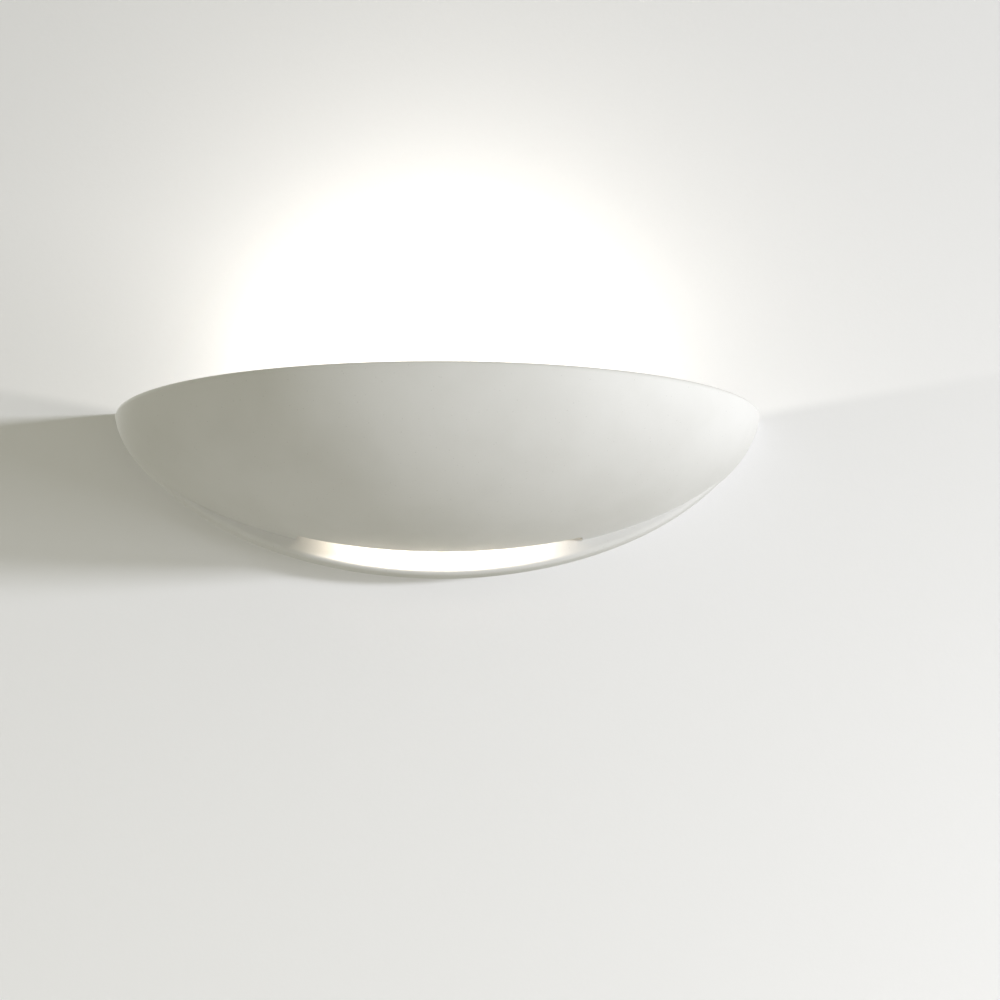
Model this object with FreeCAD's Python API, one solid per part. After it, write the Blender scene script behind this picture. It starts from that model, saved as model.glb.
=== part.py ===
import FreeCAD, Part
import math
import os

# Uplighter wall sconce: a half-bowl ceramic shade that hangs on a steel wall plate, with a
# double-ended linear halogen lamp inside it and a light slot in its underside.
# Millimetres. X runs along the wall, +Y goes into the wall, +Z is up. The origin is the
# centre of the two wall fixing slots, on the wall plate's back face (the wall, Y = 0).

# --- shade: outside form -------------------------------------------------------------
RIM_WIDTH = 340.0  # tip to tip along the wall
RIM_PROJECTION = 120.0  # wall to the front of the rim
BOWL_DEPTH = 78.0  # rim down to the bowl's underside at the wall
BOWL_CENTRE_RISE = 4.0  # the bowl's ellipsoid is centred this far above the rim
SHELL_WALL = 6.5
RIM_ROUNDING = 2.4
FLANGE_THICKNESS = 10.0  # the back wall of the shade, and the lip that it ends in
LIP_DROP = 10.0  # the lip hangs this far below the bowl's underside
LIP_CENTRE_RISE = 19.0  # the lip's outline is an ellipse centred this far above the rim
LIP_ROUNDING = 2.6
SLOT_LENGTH = 149.0
SLOT_WIDTH = 7.0
SLOT_CORNER = 2.5

# --- shade: window in its back wall, and the bar that hangs on the hooks ----------------
WINDOW_LENGTH = 280.0
WINDOW_DEPTH = 66.0  # rim down to the window's lower edge
WINDOW_CORNER = 5.0
HANGING_BAR_HEIGHT = 11.0

# --- wall plate and its hooks -----------------------------------------------------------
PLATE_END_MARGIN = 12.0  # from a fixing to the plate's end
PLATE_HEIGHT = 32.0
PLATE_THICKNESS = 1.5
FIXING_SPACING = 164.0
FIXING_WIDTH = 5.2
FIXING_SLOT_LENGTH = 10.0
HOOK_SPACING = 120.0
HOOK_WIDTH = 14.0
HOOK_RISE = 8.0  # how far the shade is lifted to clear the hooks
HOOK_STANDOFF = 5.0  # hanging bar's front to the hook's upright
HOOK_PAD_THICKNESS = 1.0
HOOK_BEND_RADIUS = 1.8
HOOK_CORNER = 3.5

# --- clamp screws through the hooks --------------------------------------------------------
CLAMP_SCREW_DIAMETER = 4.0
CLAMP_HEIGHT = 4.6  # screw axis above the hook pad
CLAMP_TIP_DIAMETER = 7.0
CLAMP_TIP_LENGTH = 3.0
CLAMP_JOURNAL_DIAMETER = 2.6
CLAMP_JOURNAL_LENGTH = 1.8
CLAMP_SHANK_LENGTH = 8.6
CLAMP_HEAD_DIAMETER = 10.0
CLAMP_HEAD_LENGTH = 6.0
CLAMP_HEAD_BEVEL = 1.0
CLAMP_DIMPLE_DIAMETER = 5.5
CLAMP_DIMPLE_DEPTH = 0.6
CLAMP_TIP_ROUNDING = 0.5
KNURL_TEETH = 26
KNURL_DEPTH = 0.45
BUSH_DIAMETER = 5.8
BUSH_FLANGE_DIAMETER = 8.0
BUSH_FLANGE_THICKNESS = 1.0

# --- cable entry ------------------------------------------------------------------------------
CABLE_BORE = 9.0
GROMMET_DIAMETER = 14.0
GROMMET_FLANGE_DIAMETER = 18.0
GROMMET_FLANGE_THICKNESS = 1.5
GROMMET_TAPER = 0.5

# --- lamp: double-ended linear halogen -------------------------------------------------------
LAMP_LENGTH = 117.6  # over the ceramic caps
LAMP_STANDOFF = 36.0  # wall to the lamp's axis
LAMP_DROP = 2.0  # lamp's axis below the fixing centre
TUBE_DIAMETER = 10.0
TUBE_WALL = 1.0
DOME_LENGTH = 4.0  # the tube's ends draw in over this length
DOME_MIDDLE_SETBACK = 1.25  # of the dome's middle, from the tube's end
DOME_MIDDLE_SHARE = 0.72  # the dome's middle, as a share of the tube's radius
BARE_PINCH = 4.8  # of each pinch, between the tube's end and the cap
PINCH_ROOT = 1.6  # how far a pinch runs into the tube's end
PINCH_WIDTH = 7.0
PINCH_THICKNESS = 2.8
PINCH_ROUNDING = 1.0
TUBE_NOSE_RADIUS = 1.6
TUBE_END_WALL = 2.0
EXHAUST_TIP_DIAMETER = 2.6  # the sealed stub that the tube was filled through
EXHAUST_TIP_HEIGHT = 1.5
CAP_DIAMETER = 8.6
CAP_LENGTH = 10.0
CAP_WALL = 0.9
CAP_ROUNDING = 0.6
CAP_RECESS_DIAMETER = 5.6
CAP_RECESS_DEPTH = 1.7
LAMP_CONTACT_THICKNESS = 0.7
LEAD_OUT_DIAMETER = 0.7
FILAMENT_DIAMETER = 1.3
FILAMENT_SETBACK = 7.0  # from the tube's end
FILAMENT_SUPPORTS = 5
SUPPORT_THICKNESS = 0.5
SUPPORT_HUB_WALL = 0.55
LAMP_TRAVEL = 2.0  # each way, against the sprung contacts

# --- lampholders -----------------------------------------------------------------------------
HOLDER_LENGTH = 24.0
HOLDER_WIDTH = 17.0
HOLDER_HEIGHT = 20.0
HOLDER_EDGE = 1.2
HOLDER_SETBACK = 1.2  # the cradle covers the cap but for this much
CRADLE_WIDTH = 9.6
CRADLE_CLEARANCE = 0.7  # cap to the cradle's end when the lamp is pushed over
CONTACT_STEM_DIAMETER = 4.4
CONTACT_NOSE_RADIUS = 2.0
CONTACT_SHOULDER_DIAMETER = 8.0
CONTACT_SHOULDER_THICKNESS = 1.5
CHAMBER_DIAMETER = 8.6
CHAMBER_FRONT_WALL = 3.0
SHOULDER_CLEARANCE = 0.4
SPRING_WIRE = 0.6
SPRING_DIAMETER = 6.2  # mean
SPRING_TURNS = 3
HOLDER_SCREW_DIAMETER = 3.0
HOLDER_SCREW_OFFSET = 7.2
HOLDER_SCREW_DEPTH = 7.0
SCREW_HOLE_SPARE = 0.6  # a blind hole is this much deeper than its screw
INSULATING_SHEET = 0.6
SHEET_INSET = 0.4  # of its top and bottom edges from the ceramic's
TERMINAL_DISC_THICKNESS = 0.8
TAG_WIDTH = 3.2
TAG_THICKNESS = 0.8
TAG_REACH = 6.0  # from the terminal disc out past the ear
BARREL_DIAMETER = 3.4
BARREL_LENGTH = 6.0

# --- lamp bracket and its pillars ---------------------------------------------------------------
BRACKET_SHEET = 1.2
BRACKET_HEIGHT = 24.0
BRACKET_TOP = 6.0  # the web's top edge above the fixing centre
EAR_CORNER = 4.0
EAR_OVERHANG = 0.5
CHANNEL_LENGTH = 122.0
CHANNEL_DEPTH = 5.8
TONGUE_WIDTH = 7.0
TONGUE_HEIGHT = 4.5
TONGUE_SPACING = 76.0
PILLAR_LENGTH = 15.3
PILLAR_ACROSS_FLATS = 7.0
PILLAR_SPACING = 128.0
PILLAR_DROP = 5.0
PILLAR_SPIGOT_DIAMETER = 5.0
PILLAR_SCREW_DIAMETER = 4.0
PILLAR_SCREW_LENGTH = 8.0

# --- terminal block and earth ----------------------------------------------------------------------
POLE_PITCH = 9.0
BLOCK_CENTRE = -38.5  # along X
BLOCK_HEIGHT = 18.0
BLOCK_DEPTH = 13.0
BLOCK_BASE_DEPTH = 10.0
BARRIER_THICKNESS = 1.8
BLOCK_SCREW_DIAMETER = 2.5
INSERT_DIAMETER = 5.0
INSERT_BORE = 3.0
INSERT_SETBACK = 0.5
INSERT_AXIS_DEPTH = 6.0  # plate's front to the inserts' axis
TERMINAL_SCREW_DIAMETER = 3.0
TERMINAL_SCREW_SPACING = 10.0
TERMINAL_SCREW_RECESS = 0.4
TERMINAL_SCREW_HOLE = 3.9
DRIVER_SLOT_WIDTH = 0.6
DRIVER_SLOT_DEPTH = 0.8
EARTH_X = 28.0
EARTH_DROP = 4.0
EARTH_SCREW_DIAMETER = 4.0
EARTH_WASHER_DIAMETER = 9.0
EARTH_WASHER_THICKNESS = 0.8
EARTH_RING_DIAMETER = 8.0
EARTH_RING_THICKNESS = 0.8
EARTH_NECK_LENGTH = 2.0
EARTH_NECK_WIDTH = 2.8

# --- leads --------------------------------------------------------------------------------------------
LEAD_DIAMETER = 2.6

# --- pan-head screws, as shares of the shank's diameter ------------------------------------------------
PAN_HEAD_WIDTH_SHARE = 2.0
PAN_HEAD_HEIGHT_SHARE = 0.6
PAN_HEAD_ROUNDING_SHARE = 0.3
RECESS_REACH_SHARE = 0.6
RECESS_WIDTH_SHARE = 0.16
RECESS_DEPTH_SHARE = 0.33

# --- clearances -------------------------------------------------------------------------------------------
RUNNING_FIT = 0.06  # radial
LOOSE_FIT = 0.2
TOUCH_GAP = 0.2  # between pieces that only touch in use

# --- worked out from the above ---------------------------------------------------------------------------
PLATE_LENGTH = FIXING_SPACING + 2 * PLATE_END_MARGIN
PAD_TOP = PLATE_HEIGHT / 2 + HOOK_PAD_THICKNESS
RIM_Z = PAD_TOP + HANGING_BAR_HEIGHT
BOWL_CENTRE_Z = RIM_Z + BOWL_CENTRE_RISE
BOWL_BOTTOM_Z = RIM_Z - BOWL_DEPTH
LIP_BOTTOM_Z = BOWL_BOTTOM_Z - LIP_DROP
UPRIGHT_Y = -(FLANGE_THICKNESS + HOOK_STANDOFF)
CLAMP_Z = PAD_TOP + CLAMP_HEIGHT
LAMP_Y = -LAMP_STANDOFF
LAMP_Z = -LAMP_DROP
LAMP_END = LAMP_LENGTH / 2
TUBE_END = LAMP_END - CAP_LENGTH - BARE_PINCH
FILAMENT_END = TUBE_END - FILAMENT_SETBACK
LAMP_CONTACT_X = LAMP_END - CAP_RECESS_DEPTH
LAMP_CONTACT_BACK = LAMP_CONTACT_X - LAMP_CONTACT_THICKNESS
PINCH_END = LAMP_CONTACT_BACK - CAP_WALL
CRADLE_END = LAMP_END + LAMP_TRAVEL + CRADLE_CLEARANCE
CHAMBER_START = CRADLE_END + CHAMBER_FRONT_WALL
HOLDER_END = LAMP_END - CAP_LENGTH + HOLDER_SETBACK + HOLDER_LENGTH
HOLDER_START = HOLDER_END - HOLDER_LENGTH
EAR_X = HOLDER_END + INSULATING_SHEET
WEB_Y = -(PLATE_THICKNESS + PILLAR_LENGTH)
WEB_FRONT_Y = WEB_Y - BRACKET_SHEET
WEB_BOTTOM = BRACKET_TOP - BRACKET_HEIGHT
SHOULDER_X = CHAMBER_START + LAMP_TRAVEL + SHOULDER_CLEARANCE
DISC_X = HOLDER_END - TERMINAL_DISC_THICKNESS
TAG_X = HOLDER_END + TAG_REACH
BARREL_Y = LAMP_Y + TAG_WIDTH / 2
EARTH_BARREL_X = EARTH_X - EARTH_RING_DIAMETER / 2 - EARTH_NECK_LENGTH


def V(x, y, z):
    return FreeCAD.Vector(x, y, z)


def block(x0, x1, y0, y1, z0, z1):
    return Part.makeBox(x1 - x0, y1 - y0, z1 - z0, V(x0, y0, z0))


def rod(diameter, start, end):
    """A round bar from start to end."""
    span = end - start
    return Part.makeCylinder(diameter / 2, span.Length, start, span)


def ring(outer, inner, start, end):
    return rod(outer, start, end).cut(rod(inner, start, end))


def hexagon_bar(across_flats, start, end):
    """A six-sided bar along Y."""
    corner = across_flats / math.sqrt(3)
    points = []
    for i in range(7):
        turn = math.radians(60 * i)
        points.append(start + V(corner * math.cos(turn), 0, corner * math.sin(turn)))
    return Part.Face(Part.makePolygon(points)).extrude(end - start)


def lamp_axis(x):
    return V(x, LAMP_Y, LAMP_Z)


def mirrored(shape):
    return shape.mirror(V(0, 0, 0), V(1, 0, 0))


def fuse(shapes):
    return shapes[0].multiFuse(shapes[1:]).removeSplitter()


def rounded(shape, radius, wanted):
    """Fillets the edges that wanted(edge) picks."""
    edges = [e for e in shape.Edges if wanted(e)]
    return shape.makeFillet(radius, edges)


def save(name, *pieces):
    """Writes one node: its solid, or a group of solids."""
    solids = [s for piece in pieces for s in piece.Solids]
    shape = solids[0] if len(solids) == 1 else Part.makeCompound(solids)
    shape.exportStep(os.path.join("parts", name + ".step"))


# --- shade ---------------------------------------------------------------------------------------------


def half_width_at_centre(half_width_at_rim, centre_rise, height):
    """The half axis of an ellipse that is half_width_at_rim wide centre_rise below its centre."""
    return half_width_at_rim / math.sqrt(1 - (centre_rise / height) ** 2)


def ellipsoid(inset):
    """The bowl's ellipsoid, drawn in by inset all round. Its poles lie above the rim."""
    height = BOWL_DEPTH + BOWL_CENTRE_RISE
    half_width = half_width_at_centre(RIM_WIDTH / 2, BOWL_CENTRE_RISE, height) - inset
    reach = half_width_at_centre(RIM_PROJECTION, BOWL_CENTRE_RISE, height) - inset
    scale = FreeCAD.Matrix()
    scale.scale(half_width, reach, height - inset)
    ball = Part.makeSphere(1.0, V(0, 0, 0), V(1, 0, 0)).transformGeometry(scale)
    ball.translate(V(0, 0, BOWL_CENTRE_Z))
    return ball


def below_rim(front, back):
    """The space under the rim plane between two distances from the wall."""
    return block(-RIM_WIDTH, RIM_WIDTH, front, back, LIP_BOTTOM_Z - RIM_WIDTH, RIM_Z)


def ellipse_segment(half_width, depth, centre_z, top_z, y0, y1):
    """A slab from y0 to y1 whose outline is an ellipse, cut flat at top_z."""
    curve = Part.Ellipse(V(0, y0, centre_z), max(half_width, depth), min(half_width, depth))
    curve.Axis = V(0, -1, 0)
    curve.XAxis = V(1, 0, 0) if half_width > depth else V(0, 0, 1)
    slab = Part.Face(Part.Wire(curve.toShape())).extrude(V(0, y1 - y0, 0))
    keep = block(-2 * half_width, 2 * half_width, y0, y1, centre_z - 2 * depth, top_z)
    return slab.common(keep)


def flange():
    """The shade's back wall, which hangs below the bowl as the lip."""
    depth = BOWL_DEPTH + LIP_DROP + LIP_CENTRE_RISE
    half_width = half_width_at_centre(RIM_WIDTH / 2, LIP_CENTRE_RISE, depth)
    centre_z = RIM_Z + LIP_CENTRE_RISE
    slab = ellipse_segment(half_width, depth, centre_z, RIM_Z, -FLANGE_THICKNESS, 0.0)
    return rounded(
        slab,
        LIP_ROUNDING,
        lambda e: e.BoundBox.YMax < -FLANGE_THICKNESS / 2 and e.BoundBox.ZMin < RIM_Z - 1,
    )


def back_window():
    """The opening in the back wall that the wall plate and its fittings stand in."""
    top = RIM_Z - HANGING_BAR_HEIGHT
    slab = ellipse_segment(WINDOW_LENGTH / 2, WINDOW_DEPTH, RIM_Z, top, -FLANGE_THICKNESS - 1, 1.0)
    return rounded(
        slab,
        WINDOW_CORNER,
        lambda e: e.BoundBox.YLength > FLANGE_THICKNESS and e.BoundBox.ZLength < 0.1,
    )


def light_slot():
    """The slot in the bowl's underside, right in front of the back wall."""
    front = -FLANGE_THICKNESS - SLOT_WIDTH
    cut = block(
        -SLOT_LENGTH / 2,
        SLOT_LENGTH / 2,
        front,
        -FLANGE_THICKNESS,
        LIP_BOTTOM_Z - 1,
        RIM_Z - BOWL_DEPTH / 2,
    )
    return rounded(cut, SLOT_CORNER, lambda e: e.BoundBox.ZLength > 10 and e.BoundBox.YMax < front + 0.1)


def shade():
    outside = ellipsoid(0.0).common(below_rim(-2 * RIM_PROJECTION, 0.0))
    hollow = ellipsoid(SHELL_WALL).common(below_rim(-2 * RIM_PROJECTION, -FLANGE_THICKNESS))
    body = outside.fuse(flange()).cut(hollow)
    body = body.cut(back_window()).cut(light_slot()).removeSplitter()
    return rounded(
        body,
        RIM_ROUNDING,
        lambda e: e.BoundBox.ZMin > RIM_Z - 0.01 and e.BoundBox.YMin < -FLANGE_THICKNESS - 5,
    )


# --- wall plate, hooks and clamp screws ------------------------------------------------------------------


def oblong(length, width, y0, y1):
    """A slab along X with round ends, centred on the origin."""
    straight = length / 2 - width / 2
    bar = block(-straight, straight, y0, y1, -width / 2, width / 2)
    ends = [rod(width, V(side * straight, y0, 0), V(side * straight, y1, 0)) for side in (-1, 1)]
    return fuse([bar] + ends)


def hook():
    """The right-hand hook: a ledge bent forward from the plate, and its upright."""
    x0 = HOOK_SPACING / 2 - HOOK_WIDTH / 2
    x1 = HOOK_SPACING / 2 + HOOK_WIDTH / 2
    ledge_top = PLATE_HEIGHT / 2
    ledge_bottom = ledge_top - PLATE_THICKNESS
    outer_y = UPRIGHT_Y - PLATE_THICKNESS
    ledge = block(x0, x1, outer_y, 0.0, ledge_bottom, ledge_top)
    upright = block(x0, x1, outer_y, UPRIGHT_Y, ledge_bottom, PAD_TOP + HOOK_RISE)
    shape = fuse([ledge, upright])
    shape = rounded(
        shape,
        HOOK_BEND_RADIUS,
        lambda e: e.BoundBox.XLength > 1
        and e.BoundBox.ZMax < ledge_bottom + 0.1
        and e.BoundBox.YMax < outer_y + 0.1,
    )
    return rounded(
        shape,
        HOOK_CORNER,
        lambda e: e.BoundBox.YLength > 1 and e.BoundBox.ZMin > PAD_TOP + HOOK_RISE - 0.1,
    )


def wall_plate():
    plate = oblong(PLATE_LENGTH, PLATE_HEIGHT, -PLATE_THICKNESS, 0.0)
    plate = fuse([plate, hook(), mirrored(hook())])
    fixing = oblong(FIXING_SLOT_LENGTH, FIXING_WIDTH, -PLATE_THICKNESS - 1, 1.0)
    cuts = [rod(GROMMET_DIAMETER, V(0, -PLATE_THICKNESS - 1, 0), V(0, 1, 0))]
    for side in (-1, 1):
        slot = fixing.copy()
        slot.translate(V(side * FIXING_SPACING / 2, 0, 0))
        cuts.append(slot)
        spigot = V(side * PILLAR_SPACING / 2, -PLATE_THICKNESS, -PILLAR_DROP)
        cuts.append(rod(PILLAR_SPIGOT_DIAMETER, spigot, spigot + V(0, PLATE_THICKNESS + 1, 0)))
        bush = V(side * HOOK_SPACING / 2, UPRIGHT_Y + 1, CLAMP_Z)
        cuts.append(rod(BUSH_DIAMETER, bush, bush - V(0, PLATE_THICKNESS + 2, 0)))
    earth = earth_point()
    cuts.append(rod(EARTH_SCREW_DIAMETER, earth - V(0, 1, 0), earth + V(0, PLATE_THICKNESS + 1, 0)))
    cuts.append(rod(BLOCK_SCREW_DIAMETER, block_screw_seat(), block_screw_seat() + V(0, PLATE_HEIGHT, 0)))
    return plate.cut(cuts[0].multiFuse(cuts[1:]))


def hook_pad(side):
    """The silicone pad between the hook's ledge and the shade's hanging bar."""
    x = side * HOOK_SPACING / 2
    z = PLATE_HEIGHT / 2
    half = HOOK_WIDTH / 2
    return block(x - half, x + half, -FLANGE_THICKNESS, -LOOSE_FIT, z, z + HOOK_PAD_THICKNESS)


def clamp_bush(side):
    """The flanged threaded bush in the hook's upright."""
    x = side * HOOK_SPACING / 2
    front = UPRIGHT_Y - PLATE_THICKNESS
    barrel = rod(BUSH_DIAMETER, V(x, UPRIGHT_Y, CLAMP_Z), V(x, front, CLAMP_Z))
    collar_end = V(x, front - BUSH_FLANGE_THICKNESS, CLAMP_Z)
    collar = rod(BUSH_FLANGE_DIAMETER, V(x, front, CLAMP_Z), collar_end)
    bore = rod(
        CLAMP_SCREW_DIAMETER + 2 * RUNNING_FIT,
        V(x, UPRIGHT_Y + 1, CLAMP_Z),
        collar_end - V(0, 1, 0),
    )
    return fuse([barrel, collar]).cut(bore)


def clamp_tip(side):
    """The nylon tip that the screw presses on the hanging bar. The screw turns in it."""
    x = side * HOOK_SPACING / 2
    start = V(x, -FLANGE_THICKNESS - TOUCH_GAP, CLAMP_Z)
    end = V(x, start.y - CLAMP_TIP_LENGTH, CLAMP_Z)
    tip = rod(CLAMP_TIP_DIAMETER, start, end)
    tip = rounded(
        tip,
        CLAMP_TIP_ROUNDING,
        lambda e: e.BoundBox.YLength < 0.01 and e.BoundBox.YMax > start.y - 0.01,
    )
    socket = rod(
        CLAMP_JOURNAL_DIAMETER + 2 * RUNNING_FIT,
        end + V(0, CLAMP_JOURNAL_LENGTH + LOOSE_FIT, 0),
        end - V(0, 1, 0),
    )
    return tip.cut(socket)


def clamp_screw(side):
    """The knurled thumbscrew, with the thin journal that sits in its tip."""
    x = side * HOOK_SPACING / 2
    tip_end = -FLANGE_THICKNESS - TOUCH_GAP - CLAMP_TIP_LENGTH
    shank_start = tip_end - LOOSE_FIT / 2
    head_start = shank_start - CLAMP_SHANK_LENGTH
    journal_end = V(x, tip_end + CLAMP_JOURNAL_LENGTH, CLAMP_Z)
    journal = rod(CLAMP_JOURNAL_DIAMETER, journal_end, V(x, shank_start, CLAMP_Z))
    shank = rod(CLAMP_SCREW_DIAMETER, V(x, shank_start, CLAMP_Z), V(x, head_start, CLAMP_Z))
    points = []
    for i in range(2 * KNURL_TEETH + 1):
        radius = CLAMP_HEAD_DIAMETER / 2 - KNURL_DEPTH * (i % 2)
        turn = math.pi * i / KNURL_TEETH
        points.append(V(x + radius * math.cos(turn), head_start, CLAMP_Z + radius * math.sin(turn)))
    knurled = Part.Face(Part.makePolygon(points)).extrude(V(0, -CLAMP_HEAD_LENGTH, 0))
    face_radius = CLAMP_HEAD_DIAMETER / 2 - CLAMP_HEAD_BEVEL
    bevel = Part.makeCone(
        face_radius + CLAMP_HEAD_LENGTH,
        face_radius,
        CLAMP_HEAD_LENGTH,
        V(x, head_start, CLAMP_Z),
        V(0, -1, 0),
    )
    face = V(x, head_start - CLAMP_HEAD_LENGTH, CLAMP_Z)
    dimple = rod(CLAMP_DIMPLE_DIAMETER, face + V(0, CLAMP_DIMPLE_DEPTH, 0), face - V(0, 1, 0))
    head = knurled.common(bevel).cut(dimple)
    return fuse([journal, shank, head])


def cable_grommet():
    """The rubber bush that lines the cable hole, with its lip on the plate's front."""
    half = CABLE_BORE / 2
    back = V(half, 0.0, 0)
    front_y = -PLATE_THICKNESS - GROMMET_FLANGE_THICKNESS
    points = [
        back,
        V(GROMMET_DIAMETER / 2, 0, 0),
        V(GROMMET_DIAMETER / 2, -PLATE_THICKNESS, 0),
        V(GROMMET_FLANGE_DIAMETER / 2, -PLATE_THICKNESS, 0),
        V(GROMMET_FLANGE_DIAMETER / 2 - GROMMET_TAPER, front_y, 0),
        V(half, front_y, 0),
        back,
    ]
    return Part.Face(Part.makePolygon(points)).revolve(V(0, 0, 0), V(0, 1, 0), 360)


# --- lamp bracket ---------------------------------------------------------------------------------------


def lamp_bracket():
    """A folded strip: a web behind the lamp, two ears that carry the lampholders, and a
    wiring channel along its lower edge with two tongues that keep the lead in it."""
    outer = EAR_X + BRACKET_SHEET
    front = LAMP_Y - HOLDER_WIDTH / 2 - EAR_OVERHANG
    web = block(-outer, outer, WEB_FRONT_Y, WEB_Y, WEB_BOTTOM, BRACKET_TOP)
    ear_bottom = LAMP_Z - HOLDER_HEIGHT / 2
    ear_top = LAMP_Z + HOLDER_HEIGHT / 2
    pieces = [web]
    for side in (-1, 1):
        x0 = min(side * EAR_X, side * outer)
        ear = block(x0, x0 + BRACKET_SHEET, front, WEB_Y, ear_bottom, ear_top)
        ear = rounded(ear, EAR_CORNER, lambda e: e.BoundBox.XLength > 1 and e.BoundBox.YMax < front + 0.1)
        pieces.append(ear)
        tongue_x = side * TONGUE_SPACING / 2
        back = WEB_Y + CHANNEL_DEPTH
        pieces.append(
            block(
                tongue_x - TONGUE_WIDTH / 2,
                tongue_x + TONGUE_WIDTH / 2,
                back - BRACKET_SHEET,
                back,
                WEB_BOTTOM,
                WEB_BOTTOM + BRACKET_SHEET + TONGUE_HEIGHT,
            )
        )
    channel = block(
        -CHANNEL_LENGTH / 2,
        CHANNEL_LENGTH / 2,
        WEB_FRONT_Y,
        WEB_Y + CHANNEL_DEPTH,
        WEB_BOTTOM,
        WEB_BOTTOM + BRACKET_SHEET,
    )
    pieces.append(channel)
    shape = fuse(pieces)
    cuts = []
    for side in (-1, 1):
        pillar = V(side * PILLAR_SPACING / 2, WEB_Y + 1, -PILLAR_DROP)
        cuts.append(rod(PILLAR_SCREW_DIAMETER + 2 * LOOSE_FIT, pillar, pillar - V(0, BRACKET_SHEET + 2, 0)))
        ear_out = side * (outer + 1)
        ear_in = side * (EAR_X - 1)
        cuts.append(rod(CHAMBER_DIAMETER, V(ear_in, LAMP_Y, LAMP_Z), V(ear_out, LAMP_Y, LAMP_Z)))
        for offset in (-HOLDER_SCREW_OFFSET, HOLDER_SCREW_OFFSET):
            start = V(ear_in, LAMP_Y, LAMP_Z + offset)
            end = V(ear_out, LAMP_Y, LAMP_Z + offset)
            cuts.append(rod(HOLDER_SCREW_DIAMETER + 2 * LOOSE_FIT, start, end))
    return shape.cut(cuts[0].multiFuse(cuts[1:]))


def pillar(side):
    """A hexagonal pillar, swaged into the plate and tapped at its front."""
    x = side * PILLAR_SPACING / 2
    z = -PILLAR_DROP
    bar = hexagon_bar(PILLAR_ACROSS_FLATS, V(x, -PLATE_THICKNESS, z), V(x, WEB_Y, z))
    spigot = rod(PILLAR_SPIGOT_DIAMETER, V(x, 0, z), V(x, -PLATE_THICKNESS - 1, z))
    depth = PILLAR_SCREW_LENGTH + SCREW_HOLE_SPARE
    bore = rod(PILLAR_SCREW_DIAMETER + 2 * RUNNING_FIT, V(x, WEB_Y + depth, z), V(x, WEB_Y - 1, z))
    return fuse([bar, spigot]).cut(bore)


def pan_head_screw(diameter, length, seat, direction):
    """A pan-head screw with a cross recess. seat is under its head, and it points along direction."""
    shank = rod(diameter, seat, seat + direction * length)
    top = seat - direction * (diameter * PAN_HEAD_HEIGHT_SHARE)
    head = rod(diameter * PAN_HEAD_WIDTH_SHARE, seat, top)
    rim = [e for e in head.Edges if e.Closed and e.CenterOfMass.distanceToPoint(top) < 0.01]
    shape = shank.fuse(head.makeFillet(diameter * PAN_HEAD_ROUNDING_SHARE, rim))
    reach = diameter * RECESS_REACH_SHARE
    width = diameter * RECESS_WIDTH_SHARE
    across = V(direction.y, direction.z, direction.x)
    other = direction.cross(across)
    for a, b in ((across, other), (other, across)):
        corner = top - a * reach - b * (width / 2) - direction
        far = corner + a * (2 * reach)
        face = Part.Face(Part.makePolygon([corner, far, far + b * width, corner + b * width, corner]))
        shape = shape.cut(face.extrude(direction * (1 + diameter * RECESS_DEPTH_SHARE)))
    return shape


def bracket_screw(side):
    seat = V(side * PILLAR_SPACING / 2, WEB_FRONT_Y, -PILLAR_DROP)
    return pan_head_screw(PILLAR_SCREW_DIAMETER, PILLAR_SCREW_LENGTH, seat, V(0, 1, 0))


# --- lampholders: the right-hand one, mirrored for the left ---------------------------------------------


def lampholder():
    """A ceramic block: a cradle open at the top for the lamp's cap, and a spring chamber."""
    half = HOLDER_WIDTH / 2
    body = block(
        HOLDER_START,
        HOLDER_END,
        LAMP_Y - half,
        LAMP_Y + half,
        LAMP_Z - HOLDER_HEIGHT / 2,
        LAMP_Z + HOLDER_HEIGHT / 2,
    )
    body = rounded(body, HOLDER_EDGE, lambda e: e.BoundBox.XLength > 1)
    trough = rod(CRADLE_WIDTH, V(HOLDER_START - 1, LAMP_Y, LAMP_Z), V(CRADLE_END, LAMP_Y, LAMP_Z))
    mouth = block(
        HOLDER_START - 1,
        CRADLE_END,
        LAMP_Y - CRADLE_WIDTH / 2,
        LAMP_Y + CRADLE_WIDTH / 2,
        LAMP_Z,
        LAMP_Z + HOLDER_HEIGHT,
    )
    stem_bore = rod(
        CONTACT_STEM_DIAMETER + 2 * RUNNING_FIT,
        V(HOLDER_START, LAMP_Y, LAMP_Z),
        V(HOLDER_END - 1, LAMP_Y, LAMP_Z),
    )
    chamber = rod(CHAMBER_DIAMETER, V(CHAMBER_START, LAMP_Y, LAMP_Z), V(HOLDER_END + 1, LAMP_Y, LAMP_Z))
    shape = body.cut(fuse([trough, mouth])).cut(stem_bore).cut(chamber)
    for offset in (-HOLDER_SCREW_OFFSET, HOLDER_SCREW_OFFSET):
        z = LAMP_Z + offset
        hole = rod(
            HOLDER_SCREW_DIAMETER + 2 * RUNNING_FIT,
            V(HOLDER_END - HOLDER_SCREW_DEPTH - SCREW_HOLE_SPARE, LAMP_Y, z),
            V(HOLDER_END + 1, LAMP_Y, z),
        )
        shape = shape.cut(hole)
    return shape


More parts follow.
